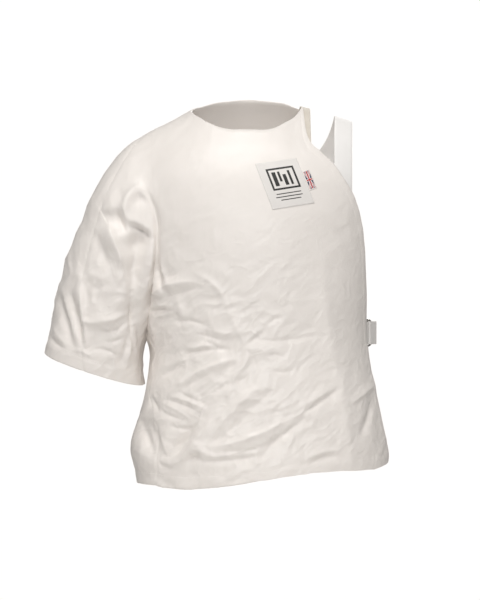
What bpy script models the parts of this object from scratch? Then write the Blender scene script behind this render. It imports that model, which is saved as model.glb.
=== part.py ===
"""A fencing plastron as it is worn: a half jacket with one short sleeve, on the wearer's right.

Metres, +Z up. The front faces -Y and the wearer's left is +X. The origin is the middle of the neck at the
height where the front meets the right shoulder seam, which is where the wearer carries the garment.
"""

import math

import bpy
import numpy as np
from mathutils import Vector

# Cloth and tapes
CLOTH = 0.002  # wall of two layers of heavy cotton with its facings
SEAM_GAP = 0.0003  # between two pieces that are sewn together
TAPE = 0.0015  # thickness of woven tape and of elastic
LAY_GAP = 0.0003  # between a piece and what it is sewn onto
UNDER_GAP = 0.0012  # between the cloth and a strap that lies under it
LABEL = 0.0008

# Where the section of the body is an ellipse, and how far it is squared off
SQUARENESS = 2.3
SHOULDER_ROUND = 0.120  # drop over which the body turns from the shoulder line to its full depth

# Sections of the draped body at each height. Left is the sleeve side, which above the underarm also
# takes in the front of the shoulder.
BODY_COLUMNS = ("height", "left", "right", "front", "back")
BODY_ROWS = (
    (-0.620, -0.176, 0.222, 0.122, 0.112),
    (-0.585, -0.182, 0.2275, 0.122, 0.112),
    (-0.560, -0.189, 0.2285, 0.122, 0.110),
    (-0.538, -0.188, 0.2265, 0.121, 0.108),
    (-0.505, -0.178, 0.2205, 0.119, 0.102),
    (-0.473, -0.168, 0.2135, 0.118, 0.097),
    (-0.449, -0.163, 0.2085, 0.117, 0.093),
    (-0.426, -0.160, 0.2030, 0.116, 0.091),
    (-0.395, -0.157, 0.1980, 0.116, 0.090),
    (-0.368, -0.163, 0.1960, 0.117, 0.091),
    (-0.340, -0.168, 0.197, 0.119, 0.093),
    (-0.311, -0.173, 0.1995, 0.122, 0.096),
    (-0.271, -0.179, 0.202, 0.126, 0.101),
    (-0.208, -0.186, 0.207, 0.130, 0.109),
    (-0.160, -0.190, 0.211, 0.129, 0.112),
    (-0.120, -0.193, 0.214, 0.122, 0.110),
    (-0.080, -0.195, 0.217, 0.106, 0.102),
    (-0.037, -0.198, 0.220, 0.082, 0.088),
    (0.020, -0.200, 0.222, 0.070, 0.070),
    (0.060, -0.200, 0.222, 0.066, 0.064),
)

# Top of the shoulders, from the sleeve side to the strap side
SHOULDER_COLUMNS = ("across", "height")
SHOULDER_ROWS = (
    (-0.200, -0.060),
    (-0.175, -0.046),
    (-0.1588, -0.0372),
    (-0.1345, -0.0275),
    (-0.112, -0.0154),
    (-0.0924, -0.004),
    (-0.075, 0.009),
    (-0.050, 0.025),
    (0.000, 0.042),
    (0.050, 0.027),
    (0.075, 0.012),
    (0.090, 0.0055),
    (0.102, 0.003),
    (0.120, -0.003),
    (0.141, -0.0097),
    (0.170, -0.0186),
    (0.200, -0.034),
)

# Outlines of the front and the back, as places across and heights
OUTLINE_COLUMNS = ("across", "height")
SHOULDER_POINT = (-0.1588, -0.0372)
NECK_LEFT = (-0.0924, -0.004)
NECK_RIGHT = (0.0877, -0.0013)
UNDERARM = (-0.163, -0.368)
ARMHOLE = (  # from the shoulder point to the underarm
    SHOULDER_POINT,
    (-0.1577, -0.0631),
    (-0.1571, -0.0881),
    (-0.1541, -0.1207),
    (-0.1507, -0.1448),
    (-0.1458, -0.1735),
    (-0.1442, -0.2083),
    (-0.1459, -0.2398),
    (-0.1501, -0.2714),
    (-0.1546, -0.3030),
    (-0.1587, -0.3350),
    UNDERARM,
)
SHOULDER_SEAM = (SHOULDER_POINT, (-0.1345, -0.0275), (-0.112, -0.0154), NECK_LEFT)
FRONT_NECK = (
    NECK_LEFT,
    (-0.0906, -0.0092),
    (-0.073, -0.0232),
    (-0.0568, -0.0326),
    (-0.0387, -0.0389),
    (-0.0193, -0.0415),
    (0.0107, -0.0416),
    (0.0385, -0.0398),
    (0.0586, -0.0294),
    (0.075, -0.0181),
    NECK_RIGHT,
)
BACK_NECK = (
    NECK_LEFT,
    (-0.075, 0.004),
    (-0.045, 0.0125),
    (0.0, 0.017),
    (0.045, 0.0125),
    (0.072, 0.005),
    NECK_RIGHT,
)
FRONT_EDGE = (  # the free edge, from the neck to the hem
    NECK_RIGHT,
    (0.0895, -0.0227),
    (0.0922, -0.0447),
    (0.0989, -0.0614),
    (0.1165, -0.0782),
    (0.1357, -0.098),
    (0.1501, -0.119),
    (0.1616, -0.1366),
    (0.1698, -0.1544),
    (0.178, -0.1818),
    (0.1832, -0.2125),
    (0.1856, -0.241),
    (0.1876, -0.279),
    (0.1889, -0.311),
    (0.1896, -0.359),
    (0.1918, -0.3913),
    (0.198, -0.427),
    (0.2074, -0.4724),
    (0.216, -0.513),
    (0.2225, -0.5423),
    (0.2248, -0.5619),
    (0.2235, -0.5718),
)
BACK_EDGE = (
    NECK_RIGHT,
    (0.086, -0.020),
    (0.074, -0.060),
    (0.058, -0.110),
    (0.044, -0.170),
    (0.034, -0.250),
    (0.028, -0.350),
    (0.026, -0.450),
    (0.026, -0.585),
)
SIDE_SEAM = (  # from the underarm to the hem
    UNDERARM,
    (-0.1560, -0.3930),
    (-0.1568, -0.4250),
    (-0.1580, -0.4490),
    (-0.1558, -0.4698),
    (-0.1517, -0.499),
    (-0.1469, -0.5302),
    (-0.1461, -0.5647),
    (-0.1462, -0.6043),
)
FRONT_HEM = (  # from the side seam to the free edge
    (-0.1462, -0.6043),
    (-0.1234, -0.6076),
    (-0.0915, -0.6085),
    (-0.0443, -0.6037),
    (0.0026, -0.5964),
    (0.0496, -0.5888),
    (0.081, -0.5845),
    (0.1126, -0.581),
    (0.1445, -0.5795),
    (0.1688, -0.5798),
    (0.197, -0.5795),
    (0.2115, -0.5765),
    (0.2235, -0.5718),
)


def column(rows, columns, name):
    """One named column of a table, as an array."""
    return np.array([row[columns.index(name)] for row in rows])


def smooth(at, places, values):
    """A smooth curve through the values at rising places: cubic pieces whose slopes are averaged."""
    places, values = np.asarray(places, float), np.asarray(values, float)
    steps = np.diff(values) / np.diff(places)
    slopes = np.concatenate([steps[:1], (steps[:-1] + steps[1:]) / 2, steps[-1:]])
    at = np.clip(at, places[0], places[-1])
    i = np.clip(np.searchsorted(places, at, side="right") - 1, 0, len(places) - 2)
    wide = places[i + 1] - places[i]
    t = (at - places[i]) / wide
    return (
        (2 * t**3 - 3 * t**2 + 1) * values[i]
        + (t**3 - 2 * t**2 + t) * wide * slopes[i]
        + (3 * t**2 - 2 * t**3) * values[i + 1]
        + (t**3 - t**2) * wide * slopes[i + 1]
    )


def section(z):
    """Middle, half width, front depth and back depth of the body at a height."""
    heights = column(BODY_ROWS, BODY_COLUMNS, "height")
    left, right, front, back = (
        smooth(z, heights, column(BODY_ROWS, BODY_COLUMNS, name)) for name in BODY_COLUMNS[1:]
    )
    return (left + right) / 2, (right - left) / 2, front, back


def shoulder_height(x):
    """Height of the shoulder line at a place across."""
    across = column(SHOULDER_ROWS, SHOULDER_COLUMNS, "across")
    return smooth(x, across, column(SHOULDER_ROWS, SHOULDER_COLUMNS, "height"))


def drop_of(down):
    """Vertical drop below the shoulder line for a distance over the cloth."""
    quarter = SHOULDER_ROUND * math.pi / 2
    bend = np.clip(down / SHOULDER_ROUND, 0, math.pi / 2)
    return SHOULDER_ROUND * (1 - np.cos(bend)) + np.maximum(down - quarter, 0)


def down_of(drop):
    """Distance over the cloth for a vertical drop below the shoulder line."""
    bend = np.arccos(np.clip(1 - drop / SHOULDER_ROUND, 0, 1))
    return SHOULDER_ROUND * bend + np.maximum(drop - SHOULDER_ROUND, 0)


def depth_share(down):
    """How much of its full depth the body has at a distance below the shoulder line."""
    bend = np.clip(down / SHOULDER_ROUND, 0, math.pi / 2)
    return (1 - np.cos(bend) ** SQUARENESS) ** (1 / SQUARENESS)


def on_body(turn, down):
    """A point of the body: its turn from the front middle towards +X, and its distance down the cloth."""
    turn, down = np.broadcast_arrays(np.asarray(turn, float), np.asarray(down, float))
    sideways = np.sign(np.sin(turn)) * np.abs(np.sin(turn)) ** (2 / SQUARENESS)
    outward = np.abs(np.cos(turn)) ** (2 / SQUARENESS)
    z = -drop_of(down)
    for _ in range(12):
        middle, half, front, back = section(z)
        x = middle + half * sideways
        z = shoulder_height(x) - drop_of(down)
    deep = np.where(np.cos(turn) > 0, -front, back)
    return np.stack([x, deep * outward * depth_share(down), z], axis=-1)


def turn_and_down(points, facing):
    """Turn and down of places across and in height, on the front (facing 1) or the back (facing -1)."""
    points = np.asarray(points, float)
    x, z = points[:, 0], points[:, 1]
    middle, half, _, _ = section(z)
    u = np.clip((x - middle) / half, -1, 1)
    turn = np.sign(u) * np.arcsin(np.abs(u) ** (SQUARENESS / 2))
    if facing < 0:
        turn = -math.pi - turn
    down = down_of(np.maximum(shoulder_height(x) - z, 0))
    return np.stack([turn, down], axis=-1)


def spaced(points, count):
    """Count points evenly spaced along a smooth curve through the given ones."""
    points = np.asarray(points, float)
    length = np.concatenate([[0], np.cumsum(np.linalg.norm(np.diff(points, axis=0), axis=1))])
    fine = np.linspace(0, length[-1], 40 * len(points))
    curve = np.stack([smooth(fine, length, points[:, k]) for k in range(points.shape[1])], axis=-1)
    run = np.concatenate([[0], np.cumsum(np.linalg.norm(np.diff(curve, axis=0), axis=1))])
    even = np.linspace(0, run[-1], count)
    return np.stack([np.interp(even, run, curve[:, k]) for k in range(points.shape[1])], axis=-1)


# How finely each panel is divided
SIDE_ROWS = 17  # hem to underarm
ARM_ROWS = 19  # underarm to shoulder point
SHOULDER_STEPS = 7
FRONT_NECK_STEPS = 25
BACK_NECK_STEPS = 16
SLEEVE_STEPS = 16

# Hem of the back, from the side seam round the side to the free edge
BACK_HEM_COLUMNS = ("turn", "height")
BACK_HEM_ROWS = (
    (-75, -0.6045),
    (-90, -0.6058),
    (-110, -0.6045),
    (-135, -0.6005),
    (-160, -0.5945),
)

# Sleeve sections, each a ring from its outer end down to its inner end. The angle is where the overarm
# seam crosses the ring, measured forwards from the outer end.
SLEEVE_COLUMNS = ("along", "outer_x", "outer_z", "inner_x", "inner_z", "front", "back", "seam_angle", "dip")
SLEEVE_ROWS = (
    (0.000, -0.1588, -0.0372, -0.1630, -0.3680, 0.090, 0.092, 0, 0.000),
    (0.095, -0.1912, -0.0583, -0.1655, -0.3745, 0.090, 0.091, 22, 0.000),
    (0.238, -0.2300, -0.1020, -0.1690, -0.3850, 0.089, 0.088, 40, 0.000),
    (0.455, -0.2690, -0.1814, -0.1712, -0.3990, 0.085, 0.083, 52, 0.001),
    (0.679, -0.2997, -0.2673, -0.1714, -0.4150, 0.078, 0.077, 63, 0.003),
    (0.890, -0.3192, -0.3515, -0.1702, -0.4350, 0.070, 0.070, 76, 0.006),
    (1.000, -0.3289, -0.3952, -0.1690, -0.4463, 0.066, 0.066, 82, 0.007),
)
SLEEVE_SQUARENESS = 2.2

# The largest folds. Each runs along a curve from its start past its middle to its end, given across and
# in height; a hollow has a negative rise.
FOLD_COLUMNS = ("x0", "z0", "xm", "zm", "x1", "z1", "width", "rise")
FRONT_FOLDS = (
    (-0.165, -0.326, -0.126, -0.297, -0.085, -0.288, 0.012, 0.004),
    (-0.088, -0.288, -0.040, -0.310, -0.004, -0.381, 0.012, 0.004),
    (-0.127, -0.471, -0.068, -0.422, -0.004, -0.400, 0.012, 0.005),
    (-0.138, -0.561, -0.097, -0.533, -0.077, -0.490, 0.013, -0.006),
    (-0.105, -0.568, -0.080, -0.522, -0.054, -0.482, 0.012, 0.005),
    (-0.060, -0.530, -0.018, -0.485, 0.040, -0.435, 0.012, -0.005),
    (-0.069, -0.557, -0.004, -0.521, 0.086, -0.485, 0.012, 0.005),
    (-0.004, -0.560, 0.037, -0.522, 0.100, -0.494, 0.012, -0.004),
    (0.097, -0.569, 0.115, -0.558, 0.137, -0.557, 0.010, -0.003),
    (0.112, -0.265, 0.124, -0.390, 0.160, -0.570, 0.018, 0.003),
    (0.197, -0.461, 0.190, -0.496, 0.178, -0.521, 0.012, -0.003),
)
SLEEVE_FRONT_FOLDS = (
    (-0.166, -0.140, -0.152, -0.195, -0.166, -0.270, 0.011, 0.007),
    (-0.186, -0.210, -0.181, -0.264, -0.187, -0.320, 0.014, -0.009),
    (-0.202, -0.140, -0.196, -0.175, -0.165, -0.196, 0.011, 0.007),
    (-0.246, -0.184, -0.224, -0.208, -0.206, -0.246, 0.014, -0.006),
    (-0.286, -0.311, -0.275, -0.341, -0.261, -0.383, 0.011, -0.006),
    (-0.257, -0.353, -0.225, -0.347, -0.189, -0.331, 0.010, 0.005),
    (-0.190, -0.340, -0.197, -0.375, -0.198, -0.422, 0.009, -0.005),
)
BACK_FOLDS = (
    (-0.150, -0.300, -0.110, -0.260, -0.050, -0.230, 0.013, 0.005),
    (-0.150, -0.350, -0.105, -0.330, -0.050, -0.320, 0.013, -0.004),
    (-0.160, -0.540, -0.110, -0.460, -0.060, -0.390, 0.014, 0.005),
    (-0.110, -0.570, -0.070, -0.500, -0.030, -0.430, 0.013, -0.004),
    (-0.060, -0.580, -0.020, -0.530, 0.005, -0.470, 0.012, 0.004),
)
SLEEVE_BACK_FOLDS = (
    (-0.178, -0.140, -0.150, -0.200, -0.168, -0.290, 0.012, 0.006),
    (-0.215, -0.150, -0.190, -0.220, -0.185, -0.300, 0.013, -0.006),
    (-0.265, -0.200, -0.235, -0.260, -0.220, -0.340, 0.012, 0.005),
    (-0.290, -0.300, -0.268, -0.350, -0.255, -0.395, 0.011, -0.005),
)

# Straps, given across and by the distance over the shoulder line, which is negative down the back
STRAP_COLUMNS = ("across", "over")
NECK_TAPE_WIDTH = 0.0145
NECK_TAPE_UNDER = 0.0022
NECK_TAPE_PATH = ((0.0933, 0.175), (0.0933, 0.100), (0.0933, 0.0), (0.0905, -0.050), (0.0690, -0.135))
SHOULDER_STRAP_WIDTH = 0.029
SHOULDER_STRAP_PATH = (
    (0.1516, 0.225),
    (0.1525, 0.120),
    (0.1545, 0.050),
    (0.1555, 0.000),
    (0.1540, -0.050),
    (0.1450, -0.100),
    (0.1180, -0.160),
    (0.0900, -0.215),
    (0.0620, -0.265),
    (0.0300, -0.315),
    (0.0050, -0.350),
)

# The side fastening: a wire D in a webbing tab on the front's edge, with the waist strap sewn round its bow
RING_HEIGHT = -0.3638
RING_WIRE = 0.0030
RING_TALL = 0.045
RING_LONG = 0.026
RING_BAR = (0.1905, -0.0265)  # middle of the bar, across and front to back
RING_SWING = math.radians(30)  # how far the D stands off the front-to-back direction
WAIST_STRAP_WIDTH = 0.037
WAIST_STRAP_BEND = (
    (0.2043, 0.0050),
    (0.2040, 0.0140),
    (0.2005, 0.0270),
    (0.1900, 0.0410),
    (0.1775, 0.0495),
)
WAIST_STRAP_TURNS = (128, 192)  # where it lies on the body, in degrees from the front middle
FREE_END = 0.068  # length of the strap's end beyond the ring
TAB_WIDTH = 0.033
TAB_TURNS = (57, 75)  # where the tab lies under the front's edge

# The maker's label on the chest and the small woven tab caught in its edge, as corners across and in height
CORNER_COLUMNS = ("across", "height")
LABEL_CORNERS = ((0.0105, -0.0979), (0.0751, -0.0881), (0.1034, -0.1592), (0.0379, -0.1702))
EDGE_TAB_CORNERS = ((0.0842, -0.1100), (0.0953, -0.1056), (0.1072, -0.1355), (0.0961, -0.1399))


def fold_rise(points, folds):
    """How far the folds push the cloth out at each point, read from its place across and its height."""
    rise = np.zeros(points.shape[:-1])
    place = points[..., [0, 2]]
    for row in folds:
        fold = dict(zip(FOLD_COLUMNS, row))
        start, end = np.array([fold["x0"], fold["z0"]]), np.array([fold["x1"], fold["z1"]])
        middle = 2 * np.array([fold["xm"], fold["zm"]]) - (start + end) / 2
        t = np.linspace(0, 1, 25)[:, None]
        spine = (1 - t) ** 2 * start + 2 * t * (1 - t) * middle + t**2 * end
        away = np.linalg.norm(place[..., None, :] - spine, axis=-1)
        nearest = away.argmin(axis=-1)
        fade = np.sin(math.pi * (0.06 + 0.88 * nearest / 24)) ** 0.7
        rise += fold["rise"] * fade * np.exp(-((away.min(axis=-1) / fold["width"]) ** 2))
    return rise


def coons(bottom, top, left, right):
    """A grid that fills four edges. Bottom and top run across, left and right run upwards."""
    s = np.linspace(0, 1, len(bottom))[None, :, None]
    t = np.linspace(0, 1, len(left))[:, None, None]
    corners = (1 - t) * ((1 - s) * bottom[0] + s * bottom[-1]) + t * ((1 - s) * top[0] + s * top[-1])
    return (1 - t) * bottom + t * top + (1 - s) * left[:, None] + s * right[:, None] - corners


def evened(grid):
    """Inside its edges, each point of a grid moves to the mean of its four neighbours."""
    grid[1:-1, 1:-1] = (grid[2:, 1:-1] + grid[:-2, 1:-1] + grid[1:-1, 2:] + grid[1:-1, :-2]) / 4
    return grid


def joined(*curves):
    """Curves that follow each other as one, with each shared end once."""
    return np.concatenate([curves[0]] + [curve[1:] for curve in curves[1:]])


def front_grid():
    """The front in turn and down, from the hem upwards, and from the side seam to the free edge."""
    across = SHOULDER_STEPS + FRONT_NECK_STEPS
    split = FRONT_EDGE.index((0.1896, -0.359))
    side = spaced(turn_and_down(SIDE_SEAM[::-1], 1), SIDE_ROWS + 1)
    armhole = armhole_edge(1)[::-1]
    edge_low = spaced(turn_and_down(FRONT_EDGE[split:][::-1], 1), SIDE_ROWS + 1)
    edge_high = spaced(turn_and_down(FRONT_EDGE[: split + 1][::-1], 1), ARM_ROWS + 1)
    hem = spaced(turn_and_down(FRONT_HEM, 1), across + 1)
    neck = spaced(turn_and_down(FRONT_NECK, 1), FRONT_NECK_STEPS + 1)
    grid = coons(hem, joined(shoulder_edge(1), neck), joined(side, armhole), joined(edge_low, edge_high))
    return evened(grid)


def back_grid():
    """The back in turn and down, from the hem upwards, and from the side seam to the free edge."""
    across = SHOULDER_STEPS + BACK_NECK_STEPS
    side = spaced(turn_and_down(SIDE_SEAM[::-1], 1), SIDE_ROWS + 1)
    armhole = armhole_edge(-1)[::-1]
    split = BACK_EDGE.index((0.028, -0.350))
    edge_low = spaced(turn_and_down(BACK_EDGE[split:][::-1], -1), SIDE_ROWS + 1)
    edge_high = spaced(turn_and_down(BACK_EDGE[: split + 1][::-1], -1), ARM_ROWS + 1)
    neck = spaced(turn_and_down(BACK_NECK, -1), BACK_NECK_STEPS + 1)
    low = []
    for turn, height in BACK_HEM_ROWS:
        turn = math.radians(turn)
        middle, half, _, _ = section(height)
        x = middle + half * math.sin(turn) * abs(math.sin(turn)) ** (2 / SQUARENESS - 1)
        low.append((turn, down_of(shoulder_height(x) - height)))
    hem = spaced(np.array([side[0], *low, edge_low[0]]), across + 1)
    return coons(hem, joined(shoulder_edge(-1), neck), joined(side, armhole), joined(edge_low, edge_high))


def armhole_edge(facing):
    """The armhole in turn and down, from the shoulder point to the underarm."""
    return spaced(turn_and_down(ARMHOLE, facing), ARM_ROWS + 1)


def shoulder_edge(facing):
    """The shoulder seam in turn and down, from the shoulder point to the neck."""
    edge = spaced(turn_and_down(SHOULDER_SEAM, facing), SHOULDER_STEPS + 1)
    edge[:, 1] = 0
    return edge


def sleeve_ring(along, angle):
    """A point of the plain sleeve. The angle runs from the outer end over the front to the inner end."""
    rows = {name: column(SLEEVE_ROWS, SLEEVE_COLUMNS, name) for name in SLEEVE_COLUMNS}
    at = {name: smooth(along, rows["along"], rows[name]) for name in SLEEVE_COLUMNS[1:]}
    power = 2 / SLEEVE_SQUARENESS
    lengthwise = np.sign(np.cos(angle)) * np.abs(np.cos(angle)) ** power
    outward = np.sign(np.sin(angle)) * np.abs(np.sin(angle)) ** power
    depth = np.where(np.sin(angle) > 0, at["front"], at["back"])
    x = (at["outer_x"] + at["inner_x"]) / 2 + lengthwise * (at["outer_x"] - at["inner_x"]) / 2
    z = (at["outer_z"] + at["inner_z"]) / 2 + lengthwise * (at["outer_z"] - at["inner_z"]) / 2
    return np.stack([x, -depth * outward, z - at["dip"] * np.abs(outward)], axis=-1)


def armhole_angles(points):
    """The ring angles, from 0 to pi, that share out the ring as the points share out the armhole."""
    fine = np.linspace(0, math.pi, 200)
    ring = sleeve_ring(np.zeros(200), fine)
    ring_run = np.concatenate([[0], np.cumsum(np.linalg.norm(np.diff(ring, axis=0), axis=1))])
    run = np.concatenate([[0], np.cumsum(np.linalg.norm(np.diff(points, axis=0), axis=1))])
    return np.interp(run / run[-1], ring_run / ring_run[-1], fine)


def sleeve_grids():
    """The front and the back of the sleeve as grids of points, from the armhole to the cuff."""
    front_hole = on_body(*armhole_edge(1).T)
    back_hole = on_body(*armhole_edge(-1).T)
    front_angles = armhole_angles(front_hole)
    back_angles = 2 * math.pi - armhole_angles(back_hole)
    known = np.concatenate([front_angles, back_angles[::-1][1:]])
    holes = np.concatenate([front_hole, back_hole[::-1][1:]])
    shift = holes - sleeve_ring(np.zeros(len(known)), known)
    along = np.linspace(0, 1, SLEEVE_STEPS + 1)[:, None]
    places = column(SLEEVE_ROWS, SLEEVE_COLUMNS, "along")
    seam = np.radians(smooth(along, places, column(SLEEVE_ROWS, SLEEVE_COLUMNS, "seam_angle")))
    grids = []
    for angles in (front_angles, back_angles):
        shares = np.abs(1 - angles / math.pi)
        angle = angles[None, :] + seam * shares[None, :]
        wrapped = np.mod(angle, 2 * math.pi)
        wrapped = np.where((angle > math.pi) & (wrapped == 0), 2 * math.pi, wrapped)
        moved = np.stack([np.interp(wrapped, known, shift[:, k]) for k in range(3)], axis=-1)
        plain = sleeve_ring(np.broadcast_to(along, angle.shape), angle)
        grids.append(plain + (1 - along[..., None]) ** 2 * moved)
    return grids


def normals_of(grid, outward_from):
    """Unit normals of a grid of points, on the side away from a point or points inside."""
    rows = np.gradient(grid, axis=0)
    columns = np.gradient(grid, axis=1)
    normals = np.cross(rows, columns)
    normals /= np.maximum(np.linalg.norm(normals, axis=-1, keepdims=True), 1e-12)
    if ((grid - outward_from) * normals).sum() < 0:
        normals = -normals
    return normals


def share_normals(grids, all_normals):
    """Gives points where pieces meet one normal, lengthened so that the walls keep their thickness."""
    sums = {}
    for grid, normals in zip(grids, all_normals):
        keys = np.round(grid.reshape(-1, 3) / 1e-5).astype(int)
        for key, normal in zip(map(tuple, keys), normals.reshape(-1, 3)):
            total, count = sums.get(key, (0, 0))
            sums[key] = (total + normal, count + 1)
    for grid, normals in zip(grids, all_normals):
        keys = np.round(grid.reshape(-1, 3) / 1e-5).astype(int)
        mean = np.array([sums[key][0] / sums[key][1] for key in map(tuple, keys)])
        length = np.linalg.norm(mean, axis=-1, keepdims=True)
        normals[...] = (mean / length / np.maximum(length, 0.55)).reshape(grid.shape)


def drawn_in(grid, normals, moves):
    """A grid with parts of its edges moved inwards, square to the seam, which leaves the gap at a seam."""
    moved = grid.copy()
    for edge, inner, by in moves:
        along = np.gradient(grid[edge], axis=0)
        along /= np.linalg.norm(along, axis=-1, keepdims=True)
        joint = normals[edge] / np.linalg.norm(normals[edge], axis=-1, keepdims=True)
        away = grid[inner] - grid[edge]
        away -= (away * along).sum(-1, keepdims=True) * along
        joint -= (joint * along).sum(-1, keepdims=True) * along
        joint /= np.linalg.norm(joint, axis=-1, keepdims=True)
        away -= (away * joint).sum(-1, keepdims=True) * joint
        moved[edge] += by * away / np.linalg.norm(away, axis=-1, keepdims=True)
    return moved


def material(name, colour, roughness, metallic=0.0):
    made = bpy.data.materials.new(name)
    made.use_nodes = True
    shader = made.node_tree.nodes["Principled BSDF"]
    shader.inputs["Base Color"].default_value = (*colour, 1)
    shader.inputs["Roughness"].default_value = roughness
    shader.inputs["Metallic"].default_value = metallic
    return made


def mesh_object(name, points, faces, finish, smooth_faces=True):
    mesh = bpy.data.meshes.new(name)
    mesh.from_pydata([tuple(p) for p in points], [], faces)
    mesh.validate()
    obj = bpy.data.objects.new(name, mesh)
    obj.data.materials.append(finish)
    bpy.context.scene.collection.objects.link(obj)
    if smooth_faces:
        mesh.shade_smooth()
        mesh.set_sharp_from_angle(angle=math.radians(50))
    return obj


def wall(name, grid, normals, thickness, finish):
    """A closed wall whose outer side is the grid, with its thickness inwards."""
    rows, columns = grid.shape[:2]
    points = np.concatenate([grid.reshape(-1, 3), (grid - thickness * normals).reshape(-1, 3)])
    inner = rows * columns
    faces = []
    for i in range(rows - 1):
        for j in range(columns - 1):
            a, d = i * columns + j, (i + 1) * columns + j
            b, c = a + 1, d + 1
            faces.append((a, b, c, d))
            faces.append((inner + d, inner + c, inner + b, inner + a))
    rim = [j for j in range(columns)]
    rim += [i * columns + columns - 1 for i in range(1, rows)]
    rim += [(rows - 1) * columns + j for j in range(columns - 2, -1, -1)]
    rim += [i * columns for i in range(rows - 2, 0, -1)]
    for k, a in enumerate(rim):
        b = rim[(k + 1) % len(rim)]
        faces.append((b, a, inner + a, inner + b))
    first = faces[0]
    facing = np.cross(points[first[1]] - points[first[0]], points[first[3]] - points[first[0]])
    if facing @ normals[0, 0] < 0:
        faces = [face[::-1] for face in faces]
    return mesh_object(name, points, faces, finish)


def over_shoulder(across, over):
    """A point of the body given across and by its distance over the shoulder line, positive to the front."""
    z = shoulder_height(across) - drop_of(np.abs(over))
    middle, half, front, back = section(z)
    u = np.clip(np.abs(across - middle) / half, 0, 1)
    deep = np.where(over > 0, -front, back) * (1 - u**SQUARENESS) ** (1 / SQUARENESS)
    return np.stack([across, deep * depth_share(np.abs(over)), z], axis=-1)


def strap_over_shoulder(name, path, width, steps, under, finish):
    """A flat strap that lies under the cloth along a path over the shoulder."""
    line = spaced(path, steps + 1)
    along = np.gradient(line, axis=0)
    along /= np.linalg.norm(along, axis=1, keepdims=True)
    sideways = np.stack([along[:, 1], -along[:, 0]], axis=-1)
    offsets = np.linspace(-width / 2, width / 2, 4)
    places = line[:, None] + offsets[None, :, None] * sideways[:, None]
    grid = over_shoulder(places[..., 0], places[..., 1])
    normals = normals_of(grid, np.array([grid[..., 0].mean(), 0, -0.3]))
    return wall(name, grid - (CLOTH + under) * normals, normals, TAPE, finish)


def ring_frame():
    """The D's directions: from the bar towards the bow, and upwards, with its middle point."""
    out = np.array([math.sin(RING_SWING), math.cos(RING_SWING), 0.0])
    up = np.array([0.0, 0.0, 1.0])
    return np.array([*RING_BAR, RING_HEIGHT]), out, up


def d_ring(finish):
    """A wire bent to a D: a straight bar and a half ellipse, swept by a circle."""
    middle, out, up = ring_frame()
    half = (RING_TALL - RING_WIRE) / 2
    corner = 0.0035
    bow = np.linspace(-math.pi / 2, math.pi / 2, 25)
    line = [(0.0, z) for z in np.linspace(half - corner, -half + corner, 7)]
    line += [(corner * 0.3, -half + corner * 0.3)]
    line += [(corner + (RING_LONG - corner) * math.cos(a), half * math.sin(a)) for a in bow]
    line += [(corner * 0.3, half - corner * 0.3)]
    line = np.array(line)
    after, before = np.roll(line, -1, axis=0), np.roll(line, 1, axis=0)
    along = (after - before) / np.linalg.norm(after - before, axis=1, keepdims=True)
    across = np.stack([along[:, 1], -along[:, 0]], axis=-1)
    flat = np.cross(out, up)
    points, sides = [], 8
    for place, side in zip(line, across):
        centre = middle + place[0] * out + place[1] * up
        sideways = side[0] * out + side[1] * up
        for k in range(sides):
            angle = 2 * math.pi * k / sides
            points.append(centre + RING_WIRE / 2 * (math.cos(angle) * sideways + math.sin(angle) * flat))
    count = len(line)
    faces = []
    for i in range(count):
        for k in range(sides):
            a, b = i * sides + k, i * sides + (k + 1) % sides
            c, d = ((i + 1) % count) * sides + (k + 1) % sides, ((i + 1) % count) * sides + k
            faces.append((a, b, c, d))
    return facing_out(mesh_object("d_ring", points, faces, finish))


def facing_out(obj):
    """Turns a closed mesh's faces round if they point inwards."""
    mesh = obj.data
    volume = 0.0
    for polygon in mesh.polygons:
        corners = [mesh.vertices[v].co for v in polygon.vertices]
        for b, c in zip(corners[1:], corners[2:]):
            volume += corners[0].dot(Vector(b).cross(c))
    if volume < 0:
        mesh.flip_normals()
    return obj


def round_body(turn, z):
    """Places across and front to back of the body's section at a height."""
    middle, half, front, back = section(z)
    sideways = np.sign(np.sin(turn)) * np.abs(np.sin(turn)) ** (2 / SQUARENESS)
    deep = np.where(np.cos(turn) > 0, -front, back)
    return np.stack([middle + half * sideways, deep * np.abs(np.cos(turn)) ** (2 / SQUARENESS)], axis=-1)


def sunk_round_body(turn, z, depth):
    """Places on the body's section, moved inwards."""
    ahead, behind = round_body(turn + 0.01, z), round_body(turn - 0.01, z)
    along = (ahead - behind) / np.linalg.norm(ahead - behind, axis=-1, keepdims=True)
    return round_body(turn, z) - depth * np.stack([along[..., 1], -along[..., 0]], axis=-1)


def upright_strap(name, line, turns, shares, width, finish):
    """A strap on edge along a line in plan. Where its share is 1 its edges follow the body."""
    heights = RING_HEIGHT + np.linspace(-width / 2, width / 2, 4)
    line, turns, shares = np.asarray(line), np.asarray(turns)[:, None], np.asarray(shares)[:, None, None]
    lean = round_body(turns, heights[None, :]) - round_body(turns, np.full((1, 1), RING_HEIGHT))
    plan = line[:, None] + shares * lean
    grid = np.concatenate([plan, np.broadcast_to(heights[None, :, None], plan.shape[:2] + (1,))], axis=-1)
    normals = normals_of(grid, np.array([0.0, 0.0, RING_HEIGHT]))
    return wall(name, grid + TAPE / 2 * normals, normals, TAPE, finish)


def back_turn(places):
    """The turn at which the body's section passes each place, on its back half."""
    middle, half, _, _ = section(RING_HEIGHT)
    u = np.clip((places[:, 0] - middle) / half, -1, 1)
    return math.pi - np.sign(u) * np.arcsin(np.abs(u) ** (SQUARENESS / 2))


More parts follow.
